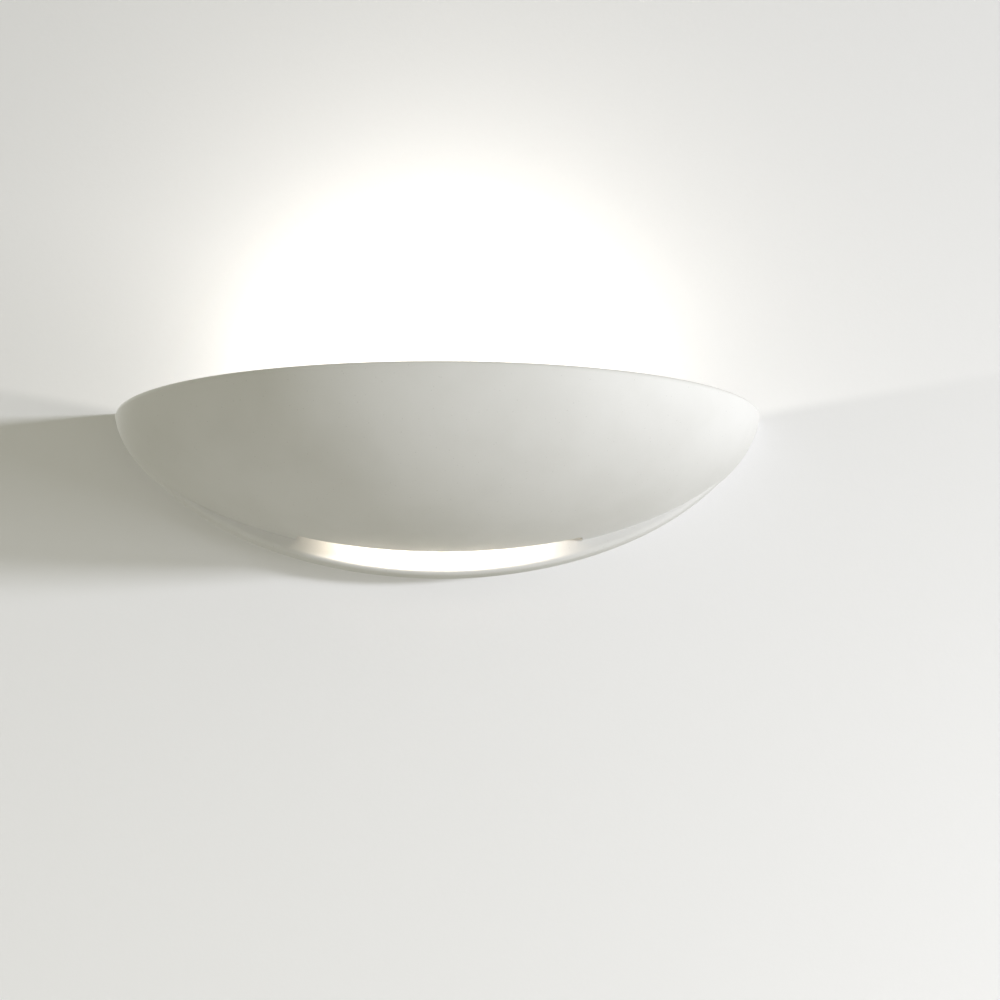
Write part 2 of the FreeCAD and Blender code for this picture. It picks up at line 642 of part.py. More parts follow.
def insulating_sheet():
    """The mica sheet between the ceramic and the ear, slotted for the tag."""
    half = HOLDER_WIDTH / 2 - HOLDER_EDGE
    high = HOLDER_HEIGHT / 2 - SHEET_INSET
    sheet = block(HOLDER_END, EAR_X, LAMP_Y - half, LAMP_Y + half, LAMP_Z - high, LAMP_Z + high)
    slot_y = TAG_WIDTH / 2 + LOOSE_FIT
    slot_z = TAG_THICKNESS / 2 + LOOSE_FIT
    sheet = sheet.cut(
        block(HOLDER_END - 1, EAR_X + 1, LAMP_Y - slot_y, LAMP_Y + slot_y, LAMP_Z - slot_z, LAMP_Z + slot_z)
    )
    for offset in (-HOLDER_SCREW_OFFSET, HOLDER_SCREW_OFFSET):
        z = LAMP_Z + offset
        start = V(HOLDER_END - 1, LAMP_Y, z)
        sheet = sheet.cut(rod(HOLDER_SCREW_DIAMETER + 2 * LOOSE_FIT, start, V(EAR_X + 1, LAMP_Y, z)))
    return sheet


def holder_screws():
    """The two screws that hold the right-hand lampholder to its ear."""
    seat_x = EAR_X + BRACKET_SHEET
    length = seat_x - HOLDER_END + HOLDER_SCREW_DEPTH
    return [
        pan_head_screw(HOLDER_SCREW_DIAMETER, length, V(seat_x, LAMP_Y, LAMP_Z + offset), V(-1, 0, 0))
        for offset in (-HOLDER_SCREW_OFFSET, HOLDER_SCREW_OFFSET)
    ]


def contact():
    """The sprung contact: a round-nosed stem with a shoulder for the spring."""
    nose = LAMP_CONTACT_X + TOUCH_GAP
    ball = Part.makeSphere(CONTACT_NOSE_RADIUS, lamp_axis(nose + CONTACT_NOSE_RADIUS))
    neck_end = CRADLE_END - LAMP_TRAVEL
    neck = rod(2 * CONTACT_NOSE_RADIUS, lamp_axis(nose + CONTACT_NOSE_RADIUS), lamp_axis(neck_end))
    stem = rod(CONTACT_STEM_DIAMETER, lamp_axis(neck_end), lamp_axis(SHOULDER_X))
    shoulder_end = SHOULDER_X + CONTACT_SHOULDER_THICKNESS
    shoulder = rod(CONTACT_SHOULDER_DIAMETER, lamp_axis(SHOULDER_X), lamp_axis(shoulder_end))
    return fuse([ball, neck, stem, shoulder])


def arc_between(start, tangent, end):
    """The arc that leaves start along tangent and ends at end."""
    chord = end - start
    along = chord * (1 / chord.Length)
    lean = tangent - along * tangent.dot(along)
    angle = tangent.getAngle(chord)
    lean.normalize()
    middle = (start + end) * 0.5 + lean * (chord.Length / 2 * math.tan(angle / 2))
    return Part.Arc(start, middle, end)


def biarc(start, start_tangent, end, end_tangent):
    """Two arcs that run from start to end and are tangent where they meet."""
    v = end - start
    t = start_tangent + end_tangent
    spread = 2 * (1 - start_tangent.dot(end_tangent))
    d = (-v.dot(t) + math.sqrt(v.dot(t) ** 2 + spread * v.dot(v))) / spread
    joint = (start + end + (start_tangent - end_tangent) * d) * 0.5
    first = arc_between(start, start_tangent, joint)
    second = arc_between(end, end_tangent * -1, joint)
    return [first.toShape(), second.toShape()]


def contact_spring():
    """A coil of round wire between the contact's shoulder and the terminal disc."""
    start_x = SHOULDER_X + CONTACT_SHOULDER_THICKNESS + SPRING_WIRE / 2 + TOUCH_GAP / 2
    end_x = DISC_X - SPRING_WIRE / 2 - TOUCH_GAP / 2
    radius = SPRING_DIAMETER / 2
    rise = (end_x - start_x) / (2 * math.pi * SPRING_TURNS)

    def place(turn):
        return lamp_axis(start_x + rise * turn) + V(0, radius * math.cos(turn), radius * math.sin(turn))

    def heading(turn):
        tangent = V(rise, -radius * math.sin(turn), radius * math.cos(turn))
        tangent.normalize()
        return tangent

    edges = []
    for quarter in range(4 * SPRING_TURNS):
        a = math.pi / 2 * quarter
        b = a + math.pi / 2
        edges += biarc(place(a), heading(a), place(b), heading(b))
    path = Part.Wire(edges)
    profile = Part.Wire(Part.Circle(place(0), heading(0), SPRING_WIRE / 2).toShape())
    print("contact spring: least gap between curls %.2f mm" % (2 * math.pi * rise - SPRING_WIRE))
    return path.makePipeShell([profile], True, False)


def terminal_tag():
    """The brass disc behind the spring, with a tag through the ear and a crimped barrel."""
    disc = rod(CHAMBER_DIAMETER - 2 * RUNNING_FIT, lamp_axis(DISC_X), lamp_axis(HOLDER_END))
    half = TAG_WIDTH / 2
    thin = TAG_THICKNESS / 2
    strip = block(HOLDER_END - 0.1, TAG_X, LAMP_Y - half, LAMP_Y + half, LAMP_Z - thin, LAMP_Z + thin)
    axis_x = TAG_X - BARREL_DIAMETER / 2
    start = V(axis_x, BARREL_Y, LAMP_Z)
    barrel = rod(BARREL_DIAMETER, start, start + V(0, BARREL_LENGTH, 0))
    return fuse([disc, strip, barrel])


# --- lamp -------------------------------------------------------------------------------------------------


def domed_bar(half_length, radius, nose):
    """A round bar whose two ends draw in over an arc to the nose radius."""
    shoulder = half_length - DOME_LENGTH
    middle = half_length - DOME_MIDDLE_SETBACK
    edges = []
    for side in (-1, 1):
        root = V(side * shoulder, LAMP_Y + radius, LAMP_Z)
        tip = V(side * half_length, LAMP_Y + nose, LAMP_Z)
        curve = Part.Arc(root, V(side * middle, LAMP_Y + radius * DOME_MIDDLE_SHARE, LAMP_Z), tip)
        edges.append(curve.toShape())
        edges.append(Part.makeLine(tip, lamp_axis(side * half_length)))
    edges.append(Part.makeLine(V(-shoulder, LAMP_Y + radius, LAMP_Z), V(shoulder, LAMP_Y + radius, LAMP_Z)))
    edges.append(Part.makeLine(lamp_axis(-half_length), lamp_axis(half_length)))
    wire = Part.Wire(Part.__sortEdges__(edges))
    return Part.Face(wire).revolve(lamp_axis(0), V(1, 0, 0), 360)


def lead_outs():
    """The wires from the filament through the pinches to the lamp's contacts."""
    return [
        rod(LEAD_OUT_DIAMETER, lamp_axis(side * FILAMENT_END), lamp_axis(side * LAMP_CONTACT_BACK))
        for side in (-1, 1)
    ]


def pinch(x0, x1):
    """The flat bar of quartz at one end of the lamp, between two places along it."""
    low, high = sorted((x0, x1))
    half_width = PINCH_WIDTH / 2
    half_thickness = PINCH_THICKNESS / 2
    return block(
        low,
        high,
        LAMP_Y - half_width,
        LAMP_Y + half_width,
        LAMP_Z - half_thickness,
        LAMP_Z + half_thickness,
    )


def exhaust_tip():
    """The round-ended stub on the tube's front, at the middle of its length."""
    radius = EXHAUST_TIP_DIAMETER / 2
    root = V(0, LAMP_Y - TUBE_DIAMETER / 2 + TUBE_WALL / 2, LAMP_Z)
    dome = V(0, LAMP_Y - TUBE_DIAMETER / 2 - EXHAUST_TIP_HEIGHT + radius, LAMP_Z)
    return rod(EXHAUST_TIP_DIAMETER, root, dome).fuse(Part.makeSphere(radius, dome))


def lamp_tube():
    """The quartz tube with its flat pinched ends."""
    shape = domed_bar(TUBE_END, TUBE_DIAMETER / 2, TUBE_NOSE_RADIUS).fuse(exhaust_tip())
    inside = domed_bar(TUBE_END - TUBE_END_WALL, TUBE_DIAMETER / 2 - TUBE_WALL, TUBE_NOSE_RADIUS / 2)
    for side in (-1, 1):
        bar = pinch(side * (TUBE_END - PINCH_ROOT), side * PINCH_END)
        shape = shape.fuse(rounded(bar, PINCH_ROUNDING, lambda e: e.BoundBox.XLength > 1))
    return shape.cut(inside).cut(Part.makeCompound(lead_outs()))


def lamp_cap(side):
    """A ceramic end cap with a slot for the pinch and a recess for the contact."""
    start = lamp_axis(side * (LAMP_END - CAP_LENGTH))
    cap = rod(CAP_DIAMETER, start, lamp_axis(side * LAMP_END))
    cap = rounded(
        cap,
        CAP_ROUNDING,
        lambda e: e.Closed and abs(e.CenterOfMass.x - side * LAMP_END) < 0.01,
    )
    slot = pinch(side * (LAMP_END - CAP_LENGTH - 1), side * PINCH_END)
    recess = rod(
        CAP_RECESS_DIAMETER,
        lamp_axis(side * LAMP_CONTACT_BACK),
        lamp_axis(side * (LAMP_END + 1)),
    )
    return cap.cut(slot).cut(recess).cut(Part.makeCompound(lead_outs()))


def lamp_contact(side):
    return rod(CAP_RECESS_DIAMETER, lamp_axis(side * LAMP_CONTACT_BACK), lamp_axis(side * LAMP_CONTACT_X))


def filament():
    """The coiled tungsten filament, as the bar that its coil fills, with its lead-outs."""
    coil = rod(FILAMENT_DIAMETER, lamp_axis(-FILAMENT_END), lamp_axis(FILAMENT_END))
    return fuse([coil] + lead_outs())


def filament_support(i):
    """One of the spiral wire supports that centre the filament in the tube."""
    pitch = 2 * FILAMENT_END / (FILAMENT_SUPPORTS + 1)
    x = (i + 1) * pitch - FILAMENT_END
    bore = TUBE_DIAMETER - 2 * TUBE_WALL
    start = lamp_axis(x)
    end = lamp_axis(x + SUPPORT_THICKNESS)
    hoop = bore - 2 * RUNNING_FIT
    outer = ring(hoop, hoop - 2 * SUPPORT_THICKNESS, start, end)
    eye = FILAMENT_DIAMETER + 2 * RUNNING_FIT
    hub = ring(eye + 2 * SUPPORT_HUB_WALL, eye, start, end)
    arm = block(
        x,
        x + SUPPORT_THICKNESS,
        LAMP_Y + (eye + SUPPORT_HUB_WALL) / 2,
        LAMP_Y + bore / 2 - SUPPORT_THICKNESS,
        LAMP_Z - SUPPORT_THICKNESS / 2,
        LAMP_Z + SUPPORT_THICKNESS / 2,
    )
    return fuse([outer, hub, arm])


# --- terminal block and earth -------------------------------------------------------------------------------


def pole_places():
    return [BLOCK_CENTRE + POLE_PITCH * i for i in (-1, 0, 1)]


def insert_y():
    return -PLATE_THICKNESS - INSERT_AXIS_DEPTH


def terminal_screw_heights():
    return (-TERMINAL_SCREW_SPACING / 2, TERMINAL_SCREW_SPACING / 2)


def terminal_block():
    """A three-pole ceramic block with barriers between its poles."""
    half = 1.5 * POLE_PITCH
    back = -PLATE_THICKNESS
    z = BLOCK_HEIGHT / 2
    pieces = [block(BLOCK_CENTRE - half, BLOCK_CENTRE + half, back - BLOCK_BASE_DEPTH, back, -z, z)]
    for i in range(4):
        inner = BLOCK_CENTRE - half + POLE_PITCH * i - BARRIER_THICKNESS / 2
        x0 = max(inner, BLOCK_CENTRE - half)
        x1 = min(inner + BARRIER_THICKNESS, BLOCK_CENTRE + half)
        pieces.append(block(x0, x1, back - BLOCK_DEPTH, back, -z, z))
    shape = fuse(pieces)
    cuts = []
    for x in pole_places():
        cuts.append(rod(INSERT_DIAMETER + 2 * RUNNING_FIT, V(x, insert_y(), -z - 1), V(x, insert_y(), z + 1)))
        for height in terminal_screw_heights():
            start = V(x, insert_y(), height)
            cuts.append(rod(TERMINAL_SCREW_HOLE, start, V(x, back - BLOCK_DEPTH, height)))
    seat = block_screw_seat()
    cuts.append(rod(BLOCK_SCREW_DIAMETER + 2 * RUNNING_FIT, V(seat.x, 1, 0), seat))
    cuts.append(rod(2 * BLOCK_SCREW_DIAMETER + 2 * LOOSE_FIT, seat, seat - V(0, BLOCK_DEPTH, 0)))
    return shape.cut(cuts[0].multiFuse(cuts[1:]))


def block_screw_seat():
    """Under the head of the screw that holds the block, between two of its poles."""
    return V(BLOCK_CENTRE + POLE_PITCH / 2, -PLATE_THICKNESS - BLOCK_BASE_DEPTH, 0)


def block_screw():
    seat = block_screw_seat()
    return pan_head_screw(BLOCK_SCREW_DIAMETER, -seat.y, seat, V(0, 1, 0))


def terminal_insert(x):
    """A brass tube that clamps the wire ends under its two screws."""
    z = BLOCK_HEIGHT / 2 - INSERT_SETBACK
    tube = ring(INSERT_DIAMETER, INSERT_BORE, V(x, insert_y(), -z), V(x, insert_y(), z))
    for height in terminal_screw_heights():
        start = V(x, insert_y(), height)
        hole = rod(TERMINAL_SCREW_DIAMETER + 2 * RUNNING_FIT, start, start - V(0, INSERT_DIAMETER, 0))
        tube = tube.cut(hole)
    return tube


def terminal_screw(x, height):
    """A slotted grub screw."""
    start = V(x, insert_y() - INSERT_BORE / 4, height)
    end = V(x, -PLATE_THICKNESS - BLOCK_BASE_DEPTH + TERMINAL_SCREW_RECESS, height)
    screw = rod(TERMINAL_SCREW_DIAMETER, start, end)
    half = DRIVER_SLOT_WIDTH / 2
    reach = TERMINAL_SCREW_DIAMETER
    groove = block(x - reach, x + reach, end.y - 1, end.y + DRIVER_SLOT_DEPTH, height - half, height + half)
    return screw.cut(groove)


def earth_point():
    return V(EARTH_X, -PLATE_THICKNESS, -EARTH_DROP)


def earth_ring():
    """A ring terminal with its barrel towards the terminal block."""
    back = earth_point()
    front = back - V(0, EARTH_RING_THICKNESS, 0)
    eye = ring(EARTH_RING_DIAMETER, EARTH_SCREW_DIAMETER + 2 * LOOSE_FIT, back, front)
    neck_end = EARTH_X - EARTH_SCREW_DIAMETER / 2 - EARTH_RING_THICKNESS
    half = EARTH_NECK_WIDTH / 2
    neck = block(EARTH_BARREL_X - LOOSE_FIT, neck_end, front.y, back.y, back.z - half, back.z + half)
    mouth = earth_barrel_mouth()
    barrel = rod(BARREL_DIAMETER, mouth, V(EARTH_BARREL_X, mouth.y, mouth.z))
    return fuse([eye, neck, barrel])


def earth_barrel_mouth():
    """Where the earth lead enters the ring terminal's barrel."""
    return V(EARTH_BARREL_X - BARREL_LENGTH, -PLATE_THICKNESS - BARREL_DIAMETER / 2, -EARTH_DROP)


def earth_washer():
    start = earth_point() - V(0, EARTH_RING_THICKNESS, 0)
    end = start - V(0, EARTH_WASHER_THICKNESS, 0)
    return ring(EARTH_WASHER_DIAMETER, EARTH_SCREW_DIAMETER + 2 * LOOSE_FIT, start, end)


def earth_screw():
    seat = earth_point() - V(0, EARTH_RING_THICKNESS + EARTH_WASHER_THICKNESS, 0)
    return pan_head_screw(EARTH_SCREW_DIAMETER, -seat.y, seat, V(0, 1, 0))


# --- leads --------------------------------------------------------------------------------------------


def lead(name, points):
    """A sleeved lead: straight runs joined by tangent arcs, as large as the runs allow."""
    points = [V(*p) for p in points]
    edges = []
    start = points[0]
    length = 0.0
    radii = []
    for before, corner, after in zip(points, points[1:], points[2:]):
        back = before - corner
        ahead = after - corner
        turn = math.pi - back.getAngle(ahead)
        reach = 0.45 * min(back.Length, ahead.Length)
        radius = reach / math.tan(turn / 2)
        radii.append(radius)
        back.normalize()
        ahead.normalize()
        arc_start = corner + back * reach
        arc_end = corner + ahead * reach
        inward = back + ahead
        inward.normalize()
        middle = corner + inward * (radius / math.cos(turn / 2) - radius)
        edges.append(Part.LineSegment(start, arc_start).toShape())
        edges.append(Part.Arc(arc_start, middle, arc_end).toShape())
        length += (arc_start - start).Length + radius * turn
        start = arc_end
    edges.append(Part.LineSegment(start, points[-1]).toShape())
    length += (points[-1] - start).Length
    profile = Part.Wire(Part.Circle(points[0], points[1] - points[0], LEAD_DIAMETER / 2).toShape())
    tube = Part.Wire(edges).makePipeShell([profile], True, False)
    section = math.pi * (LEAD_DIAMETER / 2) ** 2
    print("%s: %.0f mm, radii %s" % (name, length, " ".join("%.1f" % r for r in radii)))
    print("%s: volume over section times length %.3f" % (name, tube.Volume / (section * length)))
    return tube


def barrel_mouth(side):
    """Where a lead enters the crimped barrel behind a lampholder."""
    return (side * (TAG_X - BARREL_DIAMETER / 2), BARREL_Y + BARREL_LENGTH, LAMP_Z)


def live_lead():
    x = pole_places()[0]
    y = insert_y()
    mouth = barrel_mouth(-1)
    z = -BLOCK_HEIGHT / 2
    return lead(
        "live lead",
        [
            (x, y, z),
            (x - 0.8, y - 0.8, z - 5.5),
            (x - 9.5, y - 2.2, z - 6.6),
            (x - 20.5, y - 3.2, z - 3.0),
            (mouth[0] + 0.2, y - 5.6, mouth[2] - 3.8),
            (mouth[0], mouth[1] + 6.0, mouth[2]),
            mouth,
        ],
    )


def neutral_lead():
    x = pole_places()[2]
    y = insert_y()
    mouth = barrel_mouth(1)
    z = -BLOCK_HEIGHT / 2
    floor = WEB_BOTTOM + BRACKET_SHEET + LEAD_DIAMETER / 2 + LOOSE_FIT
    groove = WEB_Y + LEAD_DIAMETER / 2 + LOOSE_FIT
    return lead(
        "neutral lead",
        [
            (x, y, z),
            (x + 0.6, y - 2.2, z - 5.4),
            (x + 10.0, groove + 0.3, floor + 0.3),
            (x + 30.0, groove, floor),
            (x + 54.0, groove + 0.2, floor + 0.2),
            (x + 78.0, groove, floor),
            (x + 97.0, groove + 1.0, floor + 2.0),
            (mouth[0] - 0.2, groove + 0.6, mouth[2] - 4.5),
            (mouth[0], mouth[1] + 6.0, mouth[2]),
            mouth,
        ],
    )


def earth_lead():
    x = pole_places()[1]
    y = insert_y()
    z = -BLOCK_HEIGHT / 2
    mouth = earth_barrel_mouth()
    return lead(
        "earth lead",
        [
            (x, y, z),
            (x + 0.8, y + 0.6, z - 4.0),
            (x + 9.0, y + 2.4, z - 5.6),
            (x + 26.0, y + 3.0, z - 4.4),
            (mouth.x - 14.0, mouth.y - 0.4, z - 3.0),
            (mouth.x - 6.0, mouth.y, mouth.z),
            (mouth.x, mouth.y, mouth.z),
        ],
    )


def main():
    os.makedirs("parts", exist_ok=True)
    sides = {"left": -1, "right": 1}
    save("shade", shade())
    save("wall_plate", wall_plate())
    save("hook_pads", hook_pad(-1), hook_pad(1))
    save("clamp_bushes", clamp_bush(-1), clamp_bush(1))
    save("cable_grommet", cable_grommet())
    save("lamp_bracket", lamp_bracket())
    save("pillars", pillar(-1), pillar(1))
    save("bracket_screws", bracket_screw(-1), bracket_screw(1))
    right_pieces = {
        "lampholder": lampholder(),
        "insulating_sheet": insulating_sheet(),
        "contact": contact(),
        "contact_spring": contact_spring(),
        "terminal_tag": terminal_tag(),
    }
    for name, piece in right_pieces.items():
        save(name + "_right", piece)
        save(name + "_left", mirrored(piece))
    for name, side in sides.items():
        save("clamp_tip_" + name, clamp_tip(side))
        save("clamp_screw_" + name, clamp_screw(side))
    screws = holder_screws()
    save("holder_screws", *(screws + [mirrored(s) for s in screws]))
    save("lamp_tube", lamp_tube())
    save("lamp_caps", lamp_cap(-1), lamp_cap(1))
    save("lamp_contacts", lamp_contact(-1), lamp_contact(1))
    save("lamp_filament", filament())
    save("filament_supports", *[filament_support(i) for i in range(FILAMENT_SUPPORTS)])
    save("terminal_block", terminal_block())
    save("terminal_inserts", *[terminal_insert(x) for x in pole_places()])
    save("block_screw", block_screw())
    save("terminal_screws", *[terminal_screw(x, h) for x in pole_places() for h in terminal_screw_heights()])
    save("earth_ring", earth_ring())
    save("earth_washer", earth_washer())
    save("earth_screw", earth_screw())
    save("live_lead", live_lead())
    save("neutral_lead", neutral_lead())
    save("earth_lead", earth_lead())


main()
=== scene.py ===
import logging
import math
from dataclasses import dataclass, field
from enum import Enum
from typing import Callable, Union

import bpy
from mathutils import Matrix, Vector


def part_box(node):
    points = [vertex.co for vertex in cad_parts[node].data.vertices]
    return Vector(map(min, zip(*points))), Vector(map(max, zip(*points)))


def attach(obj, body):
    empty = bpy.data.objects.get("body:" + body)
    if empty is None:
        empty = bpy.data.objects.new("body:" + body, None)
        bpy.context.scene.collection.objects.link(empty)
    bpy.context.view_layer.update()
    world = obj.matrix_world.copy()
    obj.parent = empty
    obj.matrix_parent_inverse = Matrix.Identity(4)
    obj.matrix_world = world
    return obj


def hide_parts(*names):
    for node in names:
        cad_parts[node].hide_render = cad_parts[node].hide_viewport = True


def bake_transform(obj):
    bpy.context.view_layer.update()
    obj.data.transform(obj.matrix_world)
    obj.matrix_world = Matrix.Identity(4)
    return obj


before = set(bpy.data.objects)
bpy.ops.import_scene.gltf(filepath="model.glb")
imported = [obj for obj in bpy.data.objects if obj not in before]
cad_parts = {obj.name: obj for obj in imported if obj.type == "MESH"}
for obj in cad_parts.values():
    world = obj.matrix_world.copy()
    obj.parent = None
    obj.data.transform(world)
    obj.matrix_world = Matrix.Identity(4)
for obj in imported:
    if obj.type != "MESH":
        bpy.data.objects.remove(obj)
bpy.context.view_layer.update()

log = logging.getLogger("uplighter")

Colour = tuple[float, float, float]
MM = 0.001


# --- shader graphs ---------------------------------------------------------------------------


class Value:
    """A shader socket that Python's operators work on: each one adds a Math node."""

    def __init__(self, graph: "Graph", socket: bpy.types.NodeSocket) -> None:
        """Wraps one output socket of a graph."""
        self.graph = graph
        self.socket = socket

    def math(self, operation: str, *operands: "Operand") -> "Value":
        """Adds a Math node.

        Args:
            operation: The node's operation, in Blender's words.
            operands: Its inputs, in order.

        Returns:
            The node's result.
        """
        return self.graph.value("ShaderNodeMath", {"operation": operation}, dict(enumerate(operands)))

    def __add__(self, other: "Operand") -> "Value":
        """Self plus other."""
        return self.math("ADD", self, other)

    def __radd__(self, other: "Operand") -> "Value":
        """Other plus self."""
        return self.math("ADD", other, self)

    def __sub__(self, other: "Operand") -> "Value":
        """Self less other."""
        return self.math("SUBTRACT", self, other)

    def __rsub__(self, other: "Operand") -> "Value":
        """Other less self."""
        return self.math("SUBTRACT", other, self)

    def __mul__(self, other: "Operand") -> "Value":
        """Self times other."""
        return self.math("MULTIPLY", self, other)

    def __rmul__(self, other: "Operand") -> "Value":
        """Other times self."""
        return self.math("MULTIPLY", other, self)

    def __truediv__(self, other: "Operand") -> "Value":
        """Self over other."""
        return self.math("DIVIDE", self, other)

    def __rtruediv__(self, other: "Operand") -> "Value":
        """Other over self."""
        return self.math("DIVIDE", other, self)

    def __pow__(self, other: "Operand") -> "Value":
        """Self to the power other."""
        return self.math("POWER", self, other)

    def __abs__(self) -> "Value":
        """Self without its sign."""
        return self.math("ABSOLUTE", self)

    def sine(self) -> "Value":
        """The sine of self, in radians."""
        return self.math("SINE", self)

    def below(self, other: "Operand") -> "Value":
        """The lesser of self and other."""
        return self.math("MINIMUM", self, other)

    def above(self, other: "Operand") -> "Value":
        """The greater of self and other."""
        return self.math("MAXIMUM", self, other)

    def step(self, low: float, high: float) -> "Value":
        """A smooth step of self.

        Args:
            low: Where the step is 0.
            high: Where it has reached 1.

        Returns:
            The step, from 0 to 1.
        """
        settings = {"interpolation_type": "SMOOTHSTEP"}
        return self.graph.value("ShaderNodeMapRange", settings, {0: self, 1: low, 2: high})


Operand = Union[Value, float]


class Graph:
    """The node graph of one material."""

    def __init__(self, owner: Union[bpy.types.Material, bpy.types.World]) -> None:
        """Empties the owner's node tree."""
        owner.use_nodes = True
        self.tree = owner.node_tree
        self.tree.nodes.clear()

    def node(self, kind: str, settings: dict | None = None, inputs: dict | None = None) -> bpy.types.Node:
        """Adds any node.

        Args:
            kind: The node's type.
            settings: Its properties, set first.
            inputs: Numbers, colours or links for its sockets, by name or index.

        Returns:
            The new node.
        """
        made = self.tree.nodes.new(kind)
        for name, setting in (settings or {}).items():
            setattr(made, name, setting)
        for key, given in (inputs or {}).items():
            socket = made.inputs[key]
            if isinstance(given, Value):
                self.tree.links.new(given.socket, socket)
            elif isinstance(given, bpy.types.NodeSocket):
                self.tree.links.new(given, socket)
            else:
                socket.default_value = self.padded(given)
        return made

    @staticmethod
    def padded(given: float | tuple) -> float | tuple:
        """A colour of three numbers gets its alpha; a Vector stays a triple."""
        return (*given, 1.0) if isinstance(given, tuple) and len(given) == 3 else given

    def value(
        self, kind: str, settings: dict | None = None, inputs: dict | None = None, output: int | str = 0
    ) -> Value:
        """Adds a node and wraps one of its outputs.

        Args:
            kind: The node's type.
            settings: Its properties.
            inputs: Its sockets.
            output: Which output to wrap.

        Returns:
            The wrapped output.
        """
        return Value(self, self.node(kind, settings, inputs).outputs[output])

    def place(self) -> Value:
        """The point being shaded, in the object's own metres."""
        return self.value("ShaderNodeTexCoord", output="Object")

    def stretched(self, x: float, y: float, z: float) -> Value:
        """The point being shaded, with each axis scaled."""
        inputs = {0: self.place(), 1: Vector((x, y, z))}
        return self.value("ShaderNodeVectorMath", {"operation": "MULTIPLY"}, inputs)

    def axes(self) -> tuple[Value, Value, Value]:
        """The point's X, Y and Z."""
        split = self.node("ShaderNodeSeparateXYZ", inputs={0: self.place()})
        return tuple(Value(self, split.outputs[i]) for i in range(3))

    def noise(self, size: float, detail: float = 2.0, at: Value | None = None) -> Value:
        """Smooth noise from 0 to 1.

        Args:
            size: The size of its features, in metres.
            detail: How many finer octaves it has.
            at: The point, where it isn't the one being shaded.

        Returns:
            The noise.
        """
        inputs = {"Vector": at or self.place(), "Scale": 1.0 / size, "Detail": detail}
        return self.value("ShaderNodeTexNoise", inputs=inputs)

    def cells(self, size: float) -> Value:
        """The distance from the middle of the nearest cell, in a pattern of cells of that size."""
        inputs = {"Vector": self.place(), "Scale": 1.0 / size}
        return self.value("ShaderNodeTexVoronoi", inputs=inputs)

    def mix(self, share: Operand, a: Colour | Value, b: Colour | Value) -> Value:
        """A colour between a and b.

        Args:
            share: 0 gives a, and 1 gives b.
            a: The first colour.
            b: The second colour.

        Returns:
            The mixed colour.
        """
        return self.value("ShaderNodeMix", {"data_type": "RGBA"}, {0: share, 6: a, 7: b}, output=2)

    def bump(self, height: Value, distance: float, strength: float = 1.0) -> Value:
        """A surface normal from a height.

        Args:
            height: The height, from 0 to 1.
            distance: What a height of 1 is, in metres.
            strength: How much of it shows.

        Returns:
            The normal.
        """
        inputs = {"Height": height, "Distance": distance, "Strength": strength}
        return self.value("ShaderNodeBump", inputs=inputs)

    def surface(self, **sockets: object) -> bpy.types.Node:
        """A Principled shader; keywords name its sockets, with _ for a space."""
        inputs = {name.replace("_", " "): given for name, given in sockets.items()}
        return self.node("ShaderNodeBsdfPrincipled", inputs=inputs)

    def seen(self) -> Value:
        """Tells the camera's view from the room's light.

        Returns:
            1 for a ray from the camera, also by way of a reflection or through glass, and otherwise 0.
        """
        rays = self.node("ShaderNodeLightPath").outputs
        camera = Value(self, rays["Is Camera Ray"])
        reflected = Value(self, rays["Is Glossy Ray"])
        return camera.above(reflected).above(Value(self, rays["Is Transmission Ray"]))

    def out(self, shader: bpy.types.Node, kind: str = "ShaderNodeOutputMaterial") -> None:
        """Makes a shader the owner's surface."""
        self.node(kind, inputs={"Surface": shader.outputs[0]})


# --- finishes --------------------------------------------------------------------------------


class Axis(Enum):
    """The line that a turned piece was turned about."""

    X = 0
    Y = 1
    Z = 2


@dataclass(frozen=True)
class Finish:
    """A surface finish. Each kind paints a graph in its own way."""

    name: str

    def paint(self, graph: Graph) -> None:
        """Fills the graph; each kind of finish has its own.

        Args:
            graph: The graph, still empty.
        """
        raise NotImplementedError

    def material(self) -> bpy.types.Material:
        """The finish's Blender material, made once."""
        made = bpy.data.materials.get(self.name)
        if made is None:
            made = bpy.data.materials.new(self.name)
            self.paint(Graph(made))
        return made


@dataclass(frozen=True)
class MattCeramic(Finish):
    """Slip-cast ceramic, sanded and left matt, with faint clouding and a fine grain."""

    colour: Colour
    cloud_colour: Colour
    cloud_size: float = 0.045
    grain_size: float = 0.0007
    grain_height: float = 0.00003
    sanding_size: float = 0.012
    sanding_height: float = 0.00012
    roughness: float = 0.62

    def paint(self, graph: Graph) -> None:
        """Paints the body colour, its clouding, pinholes darkened with painted shade, and grain.

        Args:
            graph: The graph, still empty.
        """
        clouds = graph.noise(self.cloud_size, 4.0).step(0.35, 0.7)
        grain = graph.noise(self.grain_size, 2.0)
        sanding = graph.noise(self.sanding_size, 3.0)
        pinholes = graph.cells(0.0035).step(0.05, 0.09)
        tint = graph.mix(clouds * 0.8 + grain * 0.2, self.colour, self.cloud_colour)
        # painted shade: the pinholes' pits are darkened in the colour
        tint = graph.mix((1.0 - pinholes) * 0.35, tint, tuple(0.55 * c for c in self.colour))
        height = grain * (self.grain_height / self.sanding_height) + sanding + pinholes * 0.25
        graph.out(
            graph.surface(
                Base_Color=tint,
                Roughness=(sanding - 0.5) * 0.12 + self.roughness,
                Normal=graph.bump(height, self.sanding_height, 0.6),
                Specular_IOR_Level=0.35,
            )
        )


